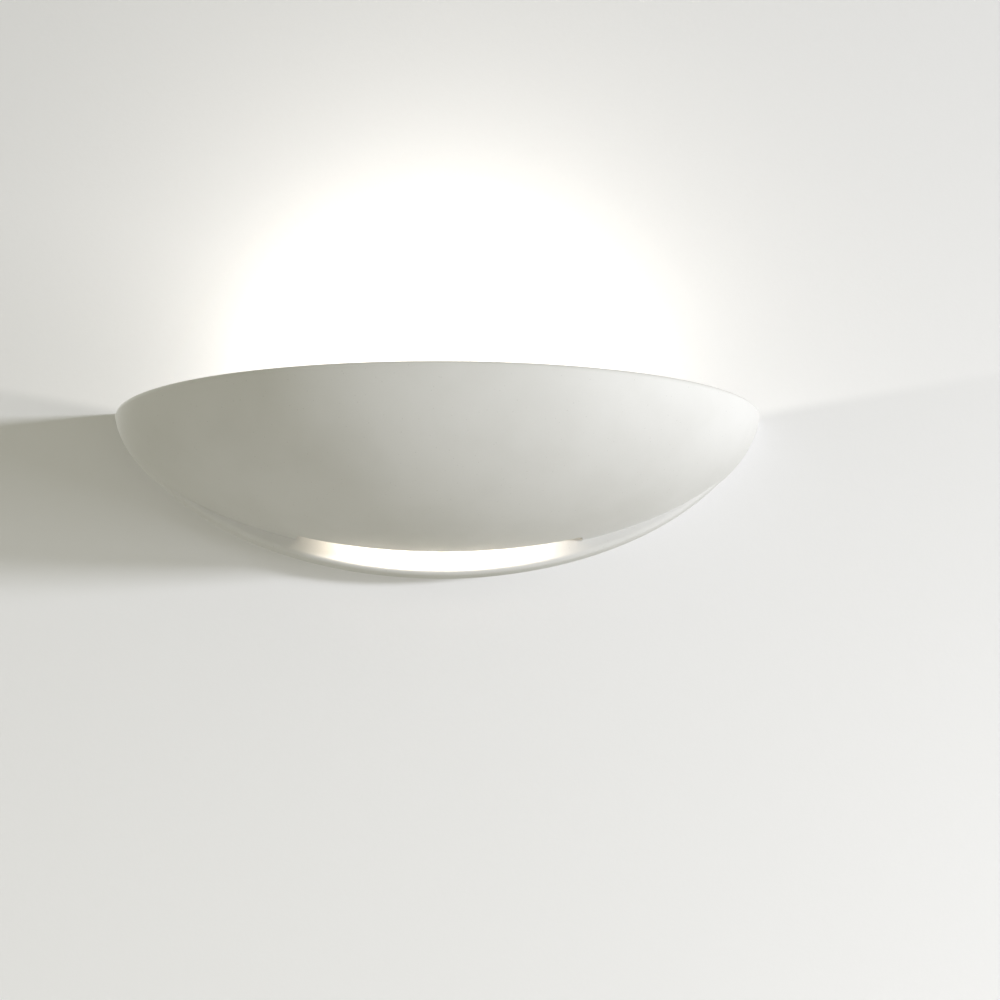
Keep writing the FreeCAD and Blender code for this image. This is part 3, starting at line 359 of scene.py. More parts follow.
@dataclass(frozen=True)
class Steatite(Finish):
    """Pressed technical ceramic: smooth, slightly glossy, with fine dark specks."""

    colour: Colour = (0.74, 0.70, 0.62)
    speck_colour: Colour = (0.42, 0.36, 0.28)

    def paint(self, graph: Graph) -> None:
        """Paints the body, its specks and the faint press marks.

        Args:
            graph: The graph, still empty.
        """
        specks = graph.noise(0.0005, 3.0).step(0.66, 0.74)
        clouds = graph.noise(0.006, 3.0)
        press_lines = (graph.axes()[Axis.Z.value] * (2.0 * math.pi / (1.2 * MM)) + clouds * 4.0).sine()
        tint = graph.mix(clouds * 0.5, self.colour, tuple(0.86 * c for c in self.colour))
        height = press_lines * 0.12 + graph.noise(0.0011, 3.0)
        graph.out(
            graph.surface(
                Base_Color=graph.mix(specks * 0.6, tint, self.speck_colour),
                Roughness=clouds * 0.2 + 0.26,
                Normal=graph.bump(height, 0.00005, 0.7),
            )
        )


@dataclass(frozen=True)
class PowderCoat(Finish):
    """Powder-coated sheet: a fine orange peel, and a duller film where the coat is thin."""

    colour: Colour = (0.78, 0.78, 0.75)
    peel_size: float = 0.0012
    peel_height: float = 0.00004

    def paint(self, graph: Graph) -> None:
        """Paints the coat and its peel.

        Args:
            graph: The graph, still empty.
        """
        peel = graph.noise(self.peel_size, 1.0)
        wear = graph.noise(0.014, 5.0).step(0.55, 0.8)
        tint = graph.mix(wear * 0.35, self.colour, tuple(0.82 * c for c in self.colour))
        graph.out(
            graph.surface(
                Base_Color=tint,
                Roughness=wear * 0.15 + peel * 0.1 + 0.32,
                Normal=graph.bump(peel, self.peel_height, 0.8),
            )
        )


@dataclass(frozen=True)
class TurnedMetal(Finish):
    """Metal turned on a lathe: fine rings across the axis, and a little tarnish."""

    colour: Colour
    tarnish: Colour
    about: Axis = Axis.Y
    ring_pitch: float = 0.00018
    roughness: float = 0.2

    def paint(self, graph: Graph) -> None:
        """Paints the turned rings and the tarnish.

        Args:
            graph: The graph, still empty.
        """
        along = graph.axes()[self.about.value]
        wander = graph.noise(0.002, 2.0)
        rings = (along * (2.0 * math.pi / self.ring_pitch) + wander * 2.0).sine() * 0.5 + 0.5
        stain = graph.noise(0.005, 5.0).step(0.45, 0.8)
        tint = graph.mix(stain * 0.55 + rings * 0.08, self.colour, self.tarnish)
        graph.out(
            graph.surface(
                Base_Color=tint,
                Metallic=1.0,
                Roughness=stain * 0.25 + rings * 0.05 + self.roughness,
                Normal=graph.bump(rings, 0.00001, 0.5),
            )
        )


@dataclass(frozen=True)
class Quartz(Finish):
    """Clear fused quartz, thin enough that light passes straight through it."""

    streak: Colour = (0.93, 0.94, 0.95)

    def paint(self, graph: Graph) -> None:
        """Paints clear glass that reflects more at a glancing angle, with faint drawn streaks.

        Args:
            graph: The graph, still empty.
        """
        inputs = {"Vector": graph.stretched(30.0, 2600.0, 2600.0), "Scale": 1.0, "Detail": 2.0}
        streaks = graph.value("ShaderNodeTexNoise", inputs=inputs)
        gloss = graph.surface(
            Base_Color=graph.mix(streaks * 0.3, self.streak, (0.80, 0.83, 0.86)),
            Roughness=streaks * 0.08 + 0.02,
            Normal=graph.bump(streaks, 0.00002, 0.5),
            IOR=1.46,
        )
        clear = graph.node("ShaderNodeBsdfTransparent", inputs={"Color": (0.97, 0.97, 0.97)})
        edge = graph.value("ShaderNodeLayerWeight", inputs={"Blend": 0.28}, output="Facing")
        share = (edge * edge * 0.75 + streaks * 0.04 + 0.06).below(0.85)
        mixed = graph.node("ShaderNodeMixShader", inputs={0: share, 1: clear.outputs[0], 2: gloss.outputs[0]})
        graph.out(mixed)


@dataclass(frozen=True)
class Incandescent(Finish):
    """Tungsten wire at working heat, glowing along the coil with a little ripple in its colour."""

    colour: Colour = (1.0, 0.72, 0.36)
    cool_colour: Colour = (1.0, 0.42, 0.12)
    strength: float = 9.0
    half_length: float = 37.0 * MM

    def paint(self, graph: Graph) -> None:
        """Paints the glow, which dies away over the cold legs.

        Args:
            graph: The graph, still empty.
        """
        x, _, _ = graph.axes()
        heat = 1.0 - abs(x).step(self.half_length * 0.97, self.half_length * 1.06)
        ripple = graph.noise(0.0015, 2.0)
        glow = graph.mix(heat, (0.0, 0.0, 0.0), graph.mix(ripple * 0.5, self.colour, self.cool_colour))
        graph.out(
            graph.surface(
                Base_Color=graph.mix(ripple, (0.30, 0.29, 0.28), (0.42, 0.41, 0.40)),
                Metallic=1.0,
                Roughness=ripple * 0.2 + 0.35,
                Emission_Color=glow,
                Emission_Strength=self.strength,
            )
        )


@dataclass(frozen=True)
class Mica(Finish):
    """Pressed mica sheet: silvery brown flakes."""

    colour: Colour = (0.50, 0.44, 0.34)
    flake: Colour = (0.72, 0.67, 0.56)

    def paint(self, graph: Graph) -> None:
        """Paints the flakes.

        Args:
            graph: The graph, still empty.
        """
        flakes = graph.cells(0.0012)
        blotch = graph.noise(0.003, 4.0)
        graph.out(
            graph.surface(
                Base_Color=graph.mix(flakes * 0.8 + blotch * 0.3, self.flake, self.colour),
                Roughness=flakes * 0.3 + 0.25,
                Normal=graph.bump(flakes, 0.00006, 0.6),
            )
        )


@dataclass(frozen=True)
class Moulded(Finish):
    """Moulded rubber or plastic: an even body with a fine spark-eroded texture."""

    colour: Colour
    roughness: float = 0.55
    texture_size: float = 0.0004
    texture_height: float = 0.00003
    scatter: float = 0.0

    def paint(self, graph: Graph) -> None:
        """Paints the body and its texture.

        Args:
            graph: The graph, still empty.
        """
        texture = graph.noise(self.texture_size, 2.0)
        blotch = graph.noise(0.004, 3.0)
        graph.out(
            graph.surface(
                Base_Color=graph.mix(
                    blotch * 0.4 + texture * 0.15, self.colour, tuple(0.78 * c for c in self.colour)
                ),
                Roughness=blotch * 0.15 + self.roughness,
                Normal=graph.bump(texture, self.texture_height, 0.8),
                Subsurface_Weight=self.scatter,
                Subsurface_Scale=0.001,
            )
        )


@dataclass(frozen=True)
class SiliconeSleeve(Finish):
    """Silicone sleeve over a lead, a little dusty, with a second colour round it where there is one."""

    colour: Colour
    second: Colour
    stripe_pitch: float = 0.0
    dust_colour: Colour = (0.50, 0.49, 0.46)

    def paint(self, graph: Graph) -> None:
        """Paints the sleeve, its dust and the second colour's stripes.

        Args:
            graph: The graph, still empty.
        """
        dust = graph.noise(0.0012, 4.0)
        if self.stripe_pitch:
            x, y, z = graph.axes()
            share = ((x + y * 0.5 + z) * (2.0 * math.pi / self.stripe_pitch)).sine().step(0.0, 0.15)
        else:
            share = dust * 0.35
        tint = graph.mix(share, self.colour, self.second)
        graph.out(
            graph.surface(
                Base_Color=graph.mix(dust.step(0.5, 0.8) * 0.2, tint, self.dust_colour),
                Roughness=dust * 0.25 + 0.4,
                Normal=graph.bump(graph.noise(0.0003, 2.0), 0.00003, 0.6),
            )
        )


SHADE_CERAMIC = MattCeramic("shade_ceramic_matt", (0.73, 0.73, 0.725), (0.69, 0.69, 0.68))
STEATITE = Steatite("steatite_pressed")
CAP_STEATITE = Steatite("steatite_cap", (0.72, 0.69, 0.62))
WHITE_STEEL = PowderCoat("steel_powder_coated")
ZINC_SCREW = TurnedMetal("steel_zinc_screw", (0.62, 0.63, 0.65), (0.42, 0.43, 0.45))
ZINC_SCREW_ACROSS = TurnedMetal("steel_zinc_screw_across", (0.62, 0.63, 0.65), (0.42, 0.43, 0.45), Axis.X)
SPRING_STEEL = TurnedMetal("steel_spring", (0.55, 0.55, 0.56), (0.32, 0.30, 0.28), Axis.X, 0.0004, 0.25)
BRASS = TurnedMetal("brass_turned", (0.72, 0.50, 0.20), (0.42, 0.26, 0.09))
BRASS_ALONG = TurnedMetal("brass_drawn", (0.72, 0.50, 0.20), (0.40, 0.25, 0.09), Axis.Z, 0.0003, 0.24)
NICKEL = TurnedMetal("nickel_on_brass", (0.68, 0.65, 0.60), (0.46, 0.42, 0.36), Axis.X)
QUARTZ = Quartz("quartz_clear")
HOT_TUNGSTEN = Incandescent("tungsten_hot")
SUPPORT_TUNGSTEN = TurnedMetal(
    "tungsten_support", (0.36, 0.35, 0.35), (0.20, 0.20, 0.22), Axis.X, 0.0003, 0.35
)
FOIL = TurnedMetal("molybdenum_foil", (0.50, 0.50, 0.52), (0.30, 0.30, 0.33), Axis.Y, 0.0004, 0.3)
MICA = Mica("mica_sheet")
SILICONE = Moulded("silicone_pad", (0.62, 0.60, 0.56), 0.5, scatter=0.2)
NYLON = Moulded("nylon_tip", (0.74, 0.72, 0.66), 0.4, scatter=0.3)
BROWN_SLEEVE = SiliconeSleeve("sleeve_brown", (0.20, 0.085, 0.035), (0.30, 0.15, 0.07))
BLUE_SLEEVE = SiliconeSleeve("sleeve_blue", (0.045, 0.14, 0.40), (0.10, 0.24, 0.52))
GREEN_SLEEVE = SiliconeSleeve("sleeve_green_yellow", (0.05, 0.26, 0.07), (0.72, 0.58, 0.05), 0.007)


# --- meshes ----------------------------------------------------------------------------------


def mesh_piece(
    name: str, points: list[Vector], faces: list[tuple[int, ...]], finish: Finish
) -> bpy.types.Object:
    """A smooth-shaded object from points and faces.

    Args:
        name: The piece's name.
        points: Its vertices, in metres.
        faces: Its faces, as indices into points.
        finish: What it is made of.

    Returns:
        The object, linked to the scene.
    """
    mesh = bpy.data.meshes.new(name)
    mesh.from_pydata([tuple(p) for p in points], [], faces)
    mesh.validate()
    mesh.materials.append(finish.material())
    piece = bpy.data.objects.new(name, mesh)
    bpy.context.scene.collection.objects.link(piece)
    for face in mesh.polygons:
        face.use_smooth = True
    return piece


def lofted(rings: list[list[Vector]]) -> tuple[list[Vector], list[tuple[int, ...]]]:
    """A closed skin through rings of equal size, with a flat cap on each end.

    Args:
        rings: The rings, in order along the skin, each running the same way round.

    Returns:
        The points and faces.
    """
    size = len(rings[0])
    points = [p for ring in rings for p in ring]
    faces = []
    for row in range(len(rings) - 1):
        for i in range(size):
            j = (i + 1) % size
            faces.append((row * size + i, row * size + j, (row + 1) * size + j, (row + 1) * size + i))
    faces.append(tuple(reversed(range(size))))
    faces.append(tuple(range((len(rings) - 1) * size, len(rings) * size)))
    return points, faces


def wire_rings(path: list[Vector], radius: float, sides: int) -> list[list[Vector]]:
    """Rings of a round wire along a path, turned as little as possible from one to the next.

    Args:
        path: The wire's centreline.
        radius: Its radius.
        sides: How many points go round it.

    Returns:
        One ring for each point of the path.
    """
    rings = []
    across = None
    for i, point in enumerate(path):
        ahead = (path[min(i + 1, len(path) - 1)] - path[max(i - 1, 0)]).normalized()
        if across is None:
            across = ahead.orthogonal().normalized()
        across = (across - ahead * across.dot(ahead)).normalized()
        other = ahead.cross(across)
        ring = []
        for k in range(sides):
            turn = 2.0 * math.pi * k / sides
            ring.append(point + across * (radius * math.cos(turn)) + other * (radius * math.sin(turn)))
        rings.append(ring)
    return rings


def dress(finish: Finish, *nodes: str) -> None:
    """Gives CAD nodes a finish.

    Args:
        finish: The finish.
        nodes: The nodes' names.
    """
    for name in nodes:
        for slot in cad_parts[name].material_slots:
            slot.material = finish.material()
        log.info("%s is finished in %s", name, finish.name)


def both(name: str) -> tuple[str, str]:
    """The left and right nodes of a mirrored piece."""
    return name + "_left", name + "_right"


# --- the sconce ------------------------------------------------------------------------------


class Assembly:
    """One sub-assembly of the sconce."""

    def build(self) -> None:
        """Builds the pieces that the scene adds or puts in place of CAD nodes. Most assemblies have none."""

    def dress(self) -> None:
        """Gives the assembly's CAD nodes their finishes."""
        raise NotImplementedError


@dataclass
class Shade(Assembly):
    """The ceramic half bowl."""

    def dress(self) -> None:
        """Dresses the shade."""
        dress(SHADE_CERAMIC, "shade")


@dataclass
class WallPlate(Assembly):
    """The steel plate, its pads and the grommet in its cable hole."""

    def dress(self) -> None:
        """Dresses the plate and what is fixed in it."""
        dress(WHITE_STEEL, "wall_plate")
        dress(SILICONE, "hook_pads", "cable_grommet")


@dataclass
class Thumbscrew:
    """One knurled clamp screw, with its thread cut into the shank."""

    side: str
    pitch: float = 0.7 * MM
    thread_depth: float = 0.36 * MM
    shank_radius: float = 2.0 * MM
    journal_radius: float = 1.3 * MM
    journal_length: float = 1.9 * MM
    head_length: float = 6.0 * MM
    knurl_teeth: int = 26
    knurl_depth: float = 0.45 * MM
    bevel: float = 0.9 * MM
    dimple_radius: float = 2.75 * MM
    dimple_depth: float = 0.6 * MM
    steps_per_tooth: int = 4
    steps_per_turn: int = 8

    def profile(self, radius: float, length: float) -> list[tuple[float, Callable[[float], float]]]:
        """The screw's outline along its axis.

        Args:
            radius: The head's radius.
            length: The screw's whole length.

        Returns:
            Places along the axis, each with a function from the angle (in turns) to the radius.
        """
        head = length - self.head_length
        rows = [(0.0, self.plain(self.journal_radius - 0.2 * MM))]
        rows.append((0.2 * MM, self.plain(self.journal_radius)))
        rows.append((self.journal_length, self.plain(self.journal_radius)))
        count = int((head - self.journal_length) / self.pitch * self.steps_per_turn)
        for i in range(count + 1):
            along = self.journal_length + (head - self.journal_length) * i / count
            fade = min(1.0, i / self.steps_per_turn, (count - i) / self.steps_per_turn)
            rows.append((along, self.thread(along, self.thread_depth * fade)))
        rows.append((head, self.knurl(radius - self.bevel, 0.3)))
        for share, drawn_in in ((0.0, 0.5), (0.12, 0.0), (0.88, 0.0), (1.0, 0.6)):
            along = head + 0.25 * MM + (self.head_length - 0.25 * MM) * share
            rows.append((along, self.knurl(radius - self.bevel * drawn_in, 1.0 - drawn_in)))
        rows.append((length, self.plain(self.dimple_radius + 0.15 * MM)))
        rows.append((length - self.dimple_depth, self.plain(self.dimple_radius - 0.1 * MM)))
        return rows

    @staticmethod
    def plain(radius: float) -> Callable[[float], float]:
        """A round section."""
        return lambda turn: radius

    def thread(self, along: float, depth: float) -> Callable[[float], float]:
        """A section through the thread, at a place along the screw."""
        return lambda turn: self.shank_radius - depth * abs(2.0 * ((along / self.pitch - turn) % 1.0) - 1.0)

    def knurl(self, radius: float, share: float) -> Callable[[float], float]:
        """A section through the knurled head, with a share of the knurl's depth."""
        depth = share * self.knurl_depth
        return lambda turn: radius - depth * abs(2.0 * ((turn * self.knurl_teeth) % 1.0) - 1.0)

    def build(self) -> bpy.types.Object:
        """Builds the screw in place of its CAD node.

        Returns:
            The screw.
        """
        node = "clamp_screw_" + self.side
        low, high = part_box(node)
        centre = (low + high) / 2
        steps = self.knurl_teeth * self.steps_per_tooth
        rings = []
        for along, section in self.profile((high.x - low.x) / 2, high.y - low.y):
            ring = []
            for k in range(steps):
                angle = 2.0 * math.pi * k / steps
                radius = section(k / steps)
                x = centre.x + radius * math.cos(angle)
                z = centre.z + radius * math.sin(angle)
                ring.append(Vector((x, high.y - along, z)))
            rings.append(ring)
        piece = mesh_piece("thumbscrew_" + self.side, *lofted(rings), ZINC_SCREW)
        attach(piece, node)
        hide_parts(node)
        return piece


@dataclass
class Clamps(Assembly):
    """The two clamp screws that hold the shade's hanging bar against the wall."""

    screws: list[Thumbscrew] = field(default_factory=lambda: [Thumbscrew("left"), Thumbscrew("right")])

    def build(self) -> None:
        """Builds both thumbscrews."""
        for screw in self.screws:
            log.info("built %s", screw.build().name)

    def dress(self) -> None:
        """Dresses the bushes and tips."""
        dress(BRASS, "clamp_bushes")
        dress(NYLON, *both("clamp_tip"))


@dataclass
class LampBracket(Assembly):
    """The folded strip that carries the lampholders, on its two pillars."""

    def dress(self) -> None:
        """Dresses the bracket and its fastenings."""
        dress(WHITE_STEEL, "lamp_bracket")
        dress(ZINC_SCREW, "pillars", "bracket_screws")


@dataclass
class ContactSpring:
    """The spring behind one of the lamp's contacts, which on the real lampholder shortens when the contact is
    pushed in.
    """

    side: str

    def build(self) -> bpy.types.Object:
        """Builds the spring in place of its CAD node, as a copy of its mesh in the spring steel finish.

        Returns:
            The spring.
        """
        node = "contact_spring_" + self.side
        piece = bpy.data.objects.new("spring_coil_" + self.side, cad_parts[node].data.copy())
        bpy.context.scene.collection.objects.link(piece)
        for slot in piece.material_slots:
            slot.material = SPRING_STEEL.material()
        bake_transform(piece)
        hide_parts(node)
        return piece


@dataclass
class Lampholders(Assembly):
    """The two ceramic lampholders with their sprung contacts."""

    springs: list[ContactSpring] = field(
        default_factory=lambda: [ContactSpring(side) for side in ("left", "right")]
    )

    def build(self) -> None:
        """Builds both contact springs."""
        for spring in self.springs:
            log.info("built %s", spring.build().name)

    def dress(self) -> None:
        """Dresses both holders."""
        dress(STEATITE, *both("lampholder"))
        dress(MICA, *both("insulating_sheet"))
        dress(NICKEL, *both("contact"))
        dress(BRASS, *both("terminal_tag"))
        dress(ZINC_SCREW_ACROSS, "holder_screws")


@dataclass
class Lamp(Assembly):
    """The double-ended halogen lamp."""

    coil_turns: int = 130
    coil_radius: float = 0.5 * MM
    steps_per_turn: int = 10
    wire_radius: float = 0.11 * MM
    wire_sides: int = 6
    leg_radius: float = 0.3 * MM
    foil_width: float = 2.4 * MM
    foil_thickness: float = 0.06 * MM
    foil_inset: float = 1.4 * MM
    foil_length: float = 6.5 * MM
    coil_half_length: float = 37.0 * MM

    def axis(self) -> Vector:
        """The middle of the lamp's axis."""
        low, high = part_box("lamp_tube")
        caps_low, caps_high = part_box("lamp_caps")
        return Vector(((low.x + high.x) / 2, (caps_low.y + caps_high.y) / 2, (caps_low.z + caps_high.z) / 2))

    def coil_path(self) -> list[Vector]:
        """The filament's centreline: a coil that narrows at each end, where the legs join it.

        Returns:
            Points along the wire.
        """
        middle = self.axis()
        count = self.coil_turns * self.steps_per_turn
        path = []
        for i in range(count + 1):
            turn = 2.0 * math.pi * i / self.steps_per_turn
            x = self.coil_half_length * (2.0 * i / count - 1.0)
            fade = min(1.0, i / self.steps_per_turn, (count - i) / self.steps_per_turn)
            radius = self.coil_radius * fade
            offset = Vector((0.0, radius * math.cos(turn), radius * math.sin(turn)))
            path.append(middle + Vector((x, 0.0, 0.0)) + offset)
        return path

    def build_filament(self) -> bpy.types.Object:
        """Builds the coiled filament with its legs, in place of the CAD bar.

        Returns:
            The filament.
        """
        middle = self.axis()
        low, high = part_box("lamp_filament")
        points, faces = lofted(wire_rings(self.coil_path(), self.wire_radius, self.wire_sides))
        for side, end in ((-1.0, low.x), (1.0, high.x)):
            leg = [
                Vector((side * (self.coil_half_length - 0.3 * MM), middle.y, middle.z)),
                Vector((side * self.foil_start(), middle.y, middle.z)),
            ]
            pin = [Vector((side * self.foil_end(), middle.y, middle.z)), Vector((end, middle.y, middle.z))]
            for path in (leg, pin):
                more_points, more_faces = lofted(wire_rings(path, self.leg_radius, 12))
                faces += [tuple(i + len(points) for i in face) for face in more_faces]
                points += more_points
        piece = mesh_piece("filament_coil", points, faces, HOT_TUNGSTEN)
        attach(piece, "lamp")
        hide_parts("lamp_filament")
        return piece

    def foil_start(self) -> float:
        """Where each foil starts, from the middle of the lamp."""
        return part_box("lamp_tube")[1].x - self.foil_inset - self.foil_length

    def foil_end(self) -> float:
        """Where each foil ends."""
        return self.foil_start() + self.foil_length

    def build_foils(self) -> bpy.types.Object:
        """Builds the thin foils sealed in the two pinches.

        Returns:
            Both foils, as one piece.
        """
        middle = self.axis()
        points, faces = [], []
        for side in (-1.0, 1.0):
            rings = []
            for x, share in ((0.0, 0.75), (0.06, 1.0), (0.94, 1.0), (1.0, 0.75)):
                half = self.foil_width / 2 * share
                thin = self.foil_thickness / 2
                place = middle + Vector((side * (self.foil_start() + self.foil_length * x), 0.0, 0.0))
                corners = [(half, 0.0), (half * 0.6, thin), (-half * 0.6, thin), (-half, 0.0)]
                corners += [(-half * 0.6, -thin), (half * 0.6, -thin)]
                rings.append([place + Vector((0.0, y, z)) for y, z in corners])
            more_points, more_faces = lofted(rings)
            faces += [tuple(i + len(points) for i in face) for face in more_faces]
            points += more_points
        piece = mesh_piece("pinch_foils", points, faces, FOIL)
        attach(piece, "lamp")
        return piece

    def build(self) -> None:
        """Builds the filament and the foils."""
        log.info("built %s", self.build_filament().name)
        log.info("built %s", self.build_foils().name)

    def dress(self) -> None:
        """Dresses the tube, its caps and the supports."""
        dress(QUARTZ, "lamp_tube")
        dress(CAP_STEATITE, "lamp_caps")
        dress(NICKEL, "lamp_contacts")
        dress(SUPPORT_TUNGSTEN, "filament_supports")


@dataclass
class Terminals(Assembly):
    """The terminal block and the earth point."""

    def dress(self) -> None:
        """Dresses the block, its inserts and every terminal screw."""
        dress(STEATITE, "terminal_block")
        dress(BRASS_ALONG, "terminal_inserts")
        dress(ZINC_SCREW, "terminal_screws", "block_screw", "earth_washer", "earth_screw")
        dress(NICKEL, "earth_ring")


@dataclass
class Wiring(Assembly):
    """The three sleeved leads."""

    def dress(self) -> None:
        """Dresses the leads in the colours of their circuits."""
        dress(BROWN_SLEEVE, "live_lead")
        dress(BLUE_SLEEVE, "neutral_lead")
        dress(GREEN_SLEEVE, "earth_lead")


# --- the studio ------------------------------------------------------------------------------


@dataclass
class RoomWall:
    """The wall behind the sconce, with the pool of light that the lamp throws up it painted on it as a glow.
    """

    half_width: float = 0.65
    half_height: float = 1.1
    gap: float = 0.0004
    colour: Colour = (0.82, 0.82, 0.82)
    lamp_reach: float = 0.036
    glow_gain: float = 0.00142
    glow_narrowing: float = 1.18
    glow_power: float = 1.5
    rim_height: float = 0.0282
    rim_half_width: float = 0.165
    shadow_slope: float = 0.18
    shadow_softness: float = 0.004

    def glow(self, graph: Graph) -> Value:
        """The lamp's light on the wall above the rim, painted as a glow, with the rim's painted shadow edge
        below it.

        Args:
            graph: The wall's graph.

        Returns:
            The light's strength.
        """
        x, _, z = graph.axes()
        side = abs(x)
        reach = (side * self.glow_narrowing) ** 2.0 + (z + 0.002) ** 2.0 + self.lamp_reach**2
        light = self.glow_gain / reach**self.glow_power
        edge = z - (side - self.rim_half_width).above(0.0) * self.shadow_slope - self.rim_height
        return (light * edge.step(-self.shadow_softness, self.shadow_softness)).below(0.7)

    def paint(self, graph: Graph) -> None:
        """Paints smooth wall paint with a painted pool of the lamp's light above the bowl, painted lighter
        towards the bottom, and clear from behind.

        Args:
            graph: The graph, still empty.
        """
        roller = graph.noise(0.0022, 3.0)
        clouds = graph.noise(0.3, 3.0)
        # painted light: the wall's colour is painted lighter towards the bottom and darker towards the top,
        # for light that falls more on its lower part
        low = (0.5 - graph.axes()[2]).step(0.0, 1.0)
        dim, bright = (tuple(share * c for c in self.colour) for share in (0.80, 1.05))
        paint = graph.surface(
            Base_Color=graph.mix(low + clouds * 0.05, dim, bright),
            Roughness=0.9,
            Normal=graph.bump(roller, 0.0001, 0.25),
            Specular_IOR_Level=0.1,
        )
        # painted light: the lamp's pool of light is painted onto the wall as a glow that camera, reflection
        # and glass rays see
        inputs = {"Color": (1.0, 0.97, 0.92), "Strength": self.glow(graph) * graph.seen()}
        glow = graph.node("ShaderNodeEmission", inputs=inputs)
        lit = graph.node("ShaderNodeAddShader", inputs={0: paint.outputs[0], 1: glow.outputs[0]})
        clear = graph.node("ShaderNodeBsdfTransparent")
        behind = graph.value("ShaderNodeNewGeometry", output="Backfacing")
        inputs = {0: behind, 1: lit.outputs[0], 2: clear.outputs[0]}
        graph.out(graph.node("ShaderNodeMixShader", inputs=inputs))

    def build(self) -> bpy.types.Object:
        """Builds the wall, which faces into the room.

        Returns:
            The wall.
        """
        material = bpy.data.materials.new("wall_paint")
        self.paint(Graph(material))
        wide, high, y = self.half_width, self.half_height, self.gap
        corners = [(-wide, y, -high), (wide, y, -high), (wide, y, high), (-wide, y, high)]
        return stage_sheet("room_wall", corners, material)


def stage_sheet(
    name: str, corners: list[tuple[float, float, float]], material: bpy.types.Material
) -> bpy.types.Object:
    """A flat stage piece.

    Args:
        name: Its name.
        corners: Its corners, anticlockwise as seen from its front.
        material: Its material.

    Returns:
        The sheet.
    """
    mesh = bpy.data.meshes.new(name)
    mesh.from_pydata(corners, [], [tuple(range(len(corners)))])
    mesh.materials.append(material)
    sheet = bpy.data.objects.new(name, mesh)
    bpy.context.scene.collection.objects.link(sheet)
    return sheet


@dataclass
class AreaLamp:
    """A soft rectangular lamp that looks at a point, and lights only what it is flagged for."""

    name: str
    place: Vector
    target: Vector
    width: float
    height: float
    power: float
    colour: Colour = (1.0, 1.0, 1.0)
    spread: float = math.pi
    only: list[bpy.types.Object] = field(default_factory=list)
    never: list[bpy.types.Object] = field(default_factory=list)

    def flag(self, lamp: bpy.types.Object) -> None:
        """Keeps the lamp's light to some objects, or off others.

        Args:
            lamp: The lamp.
        """
        linked = bpy.data.collections.new(self.name + "_lights")
        for piece in self.only + self.never:
            linked.objects.link(piece)
        lamp.light_linking.receiver_collection = linked
        for entry in linked.collection_objects[len(self.only) :]:
            entry.light_linking.link_state = "EXCLUDE"

    def build(self) -> bpy.types.Object:
        """Builds the lamp.

        Returns:
            The lamp.
        """
        data = bpy.data.lights.new(self.name, "AREA")
        data.shape = "RECTANGLE"
        data.size, data.size_y = self.width, self.height
        data.energy = self.power
        data.color = self.colour
        data.spread = self.spread
        lamp = bpy.data.objects.new(self.name, data)
        lamp.matrix_world = Matrix.Translation(self.place) @ (
            (self.target - self.place).to_track_quat("-Z", "Y").to_matrix().to_4x4()
        )
        bpy.context.scene.collection.objects.link(lamp)
        if self.only or self.never:
            self.flag(lamp)
        return lamp


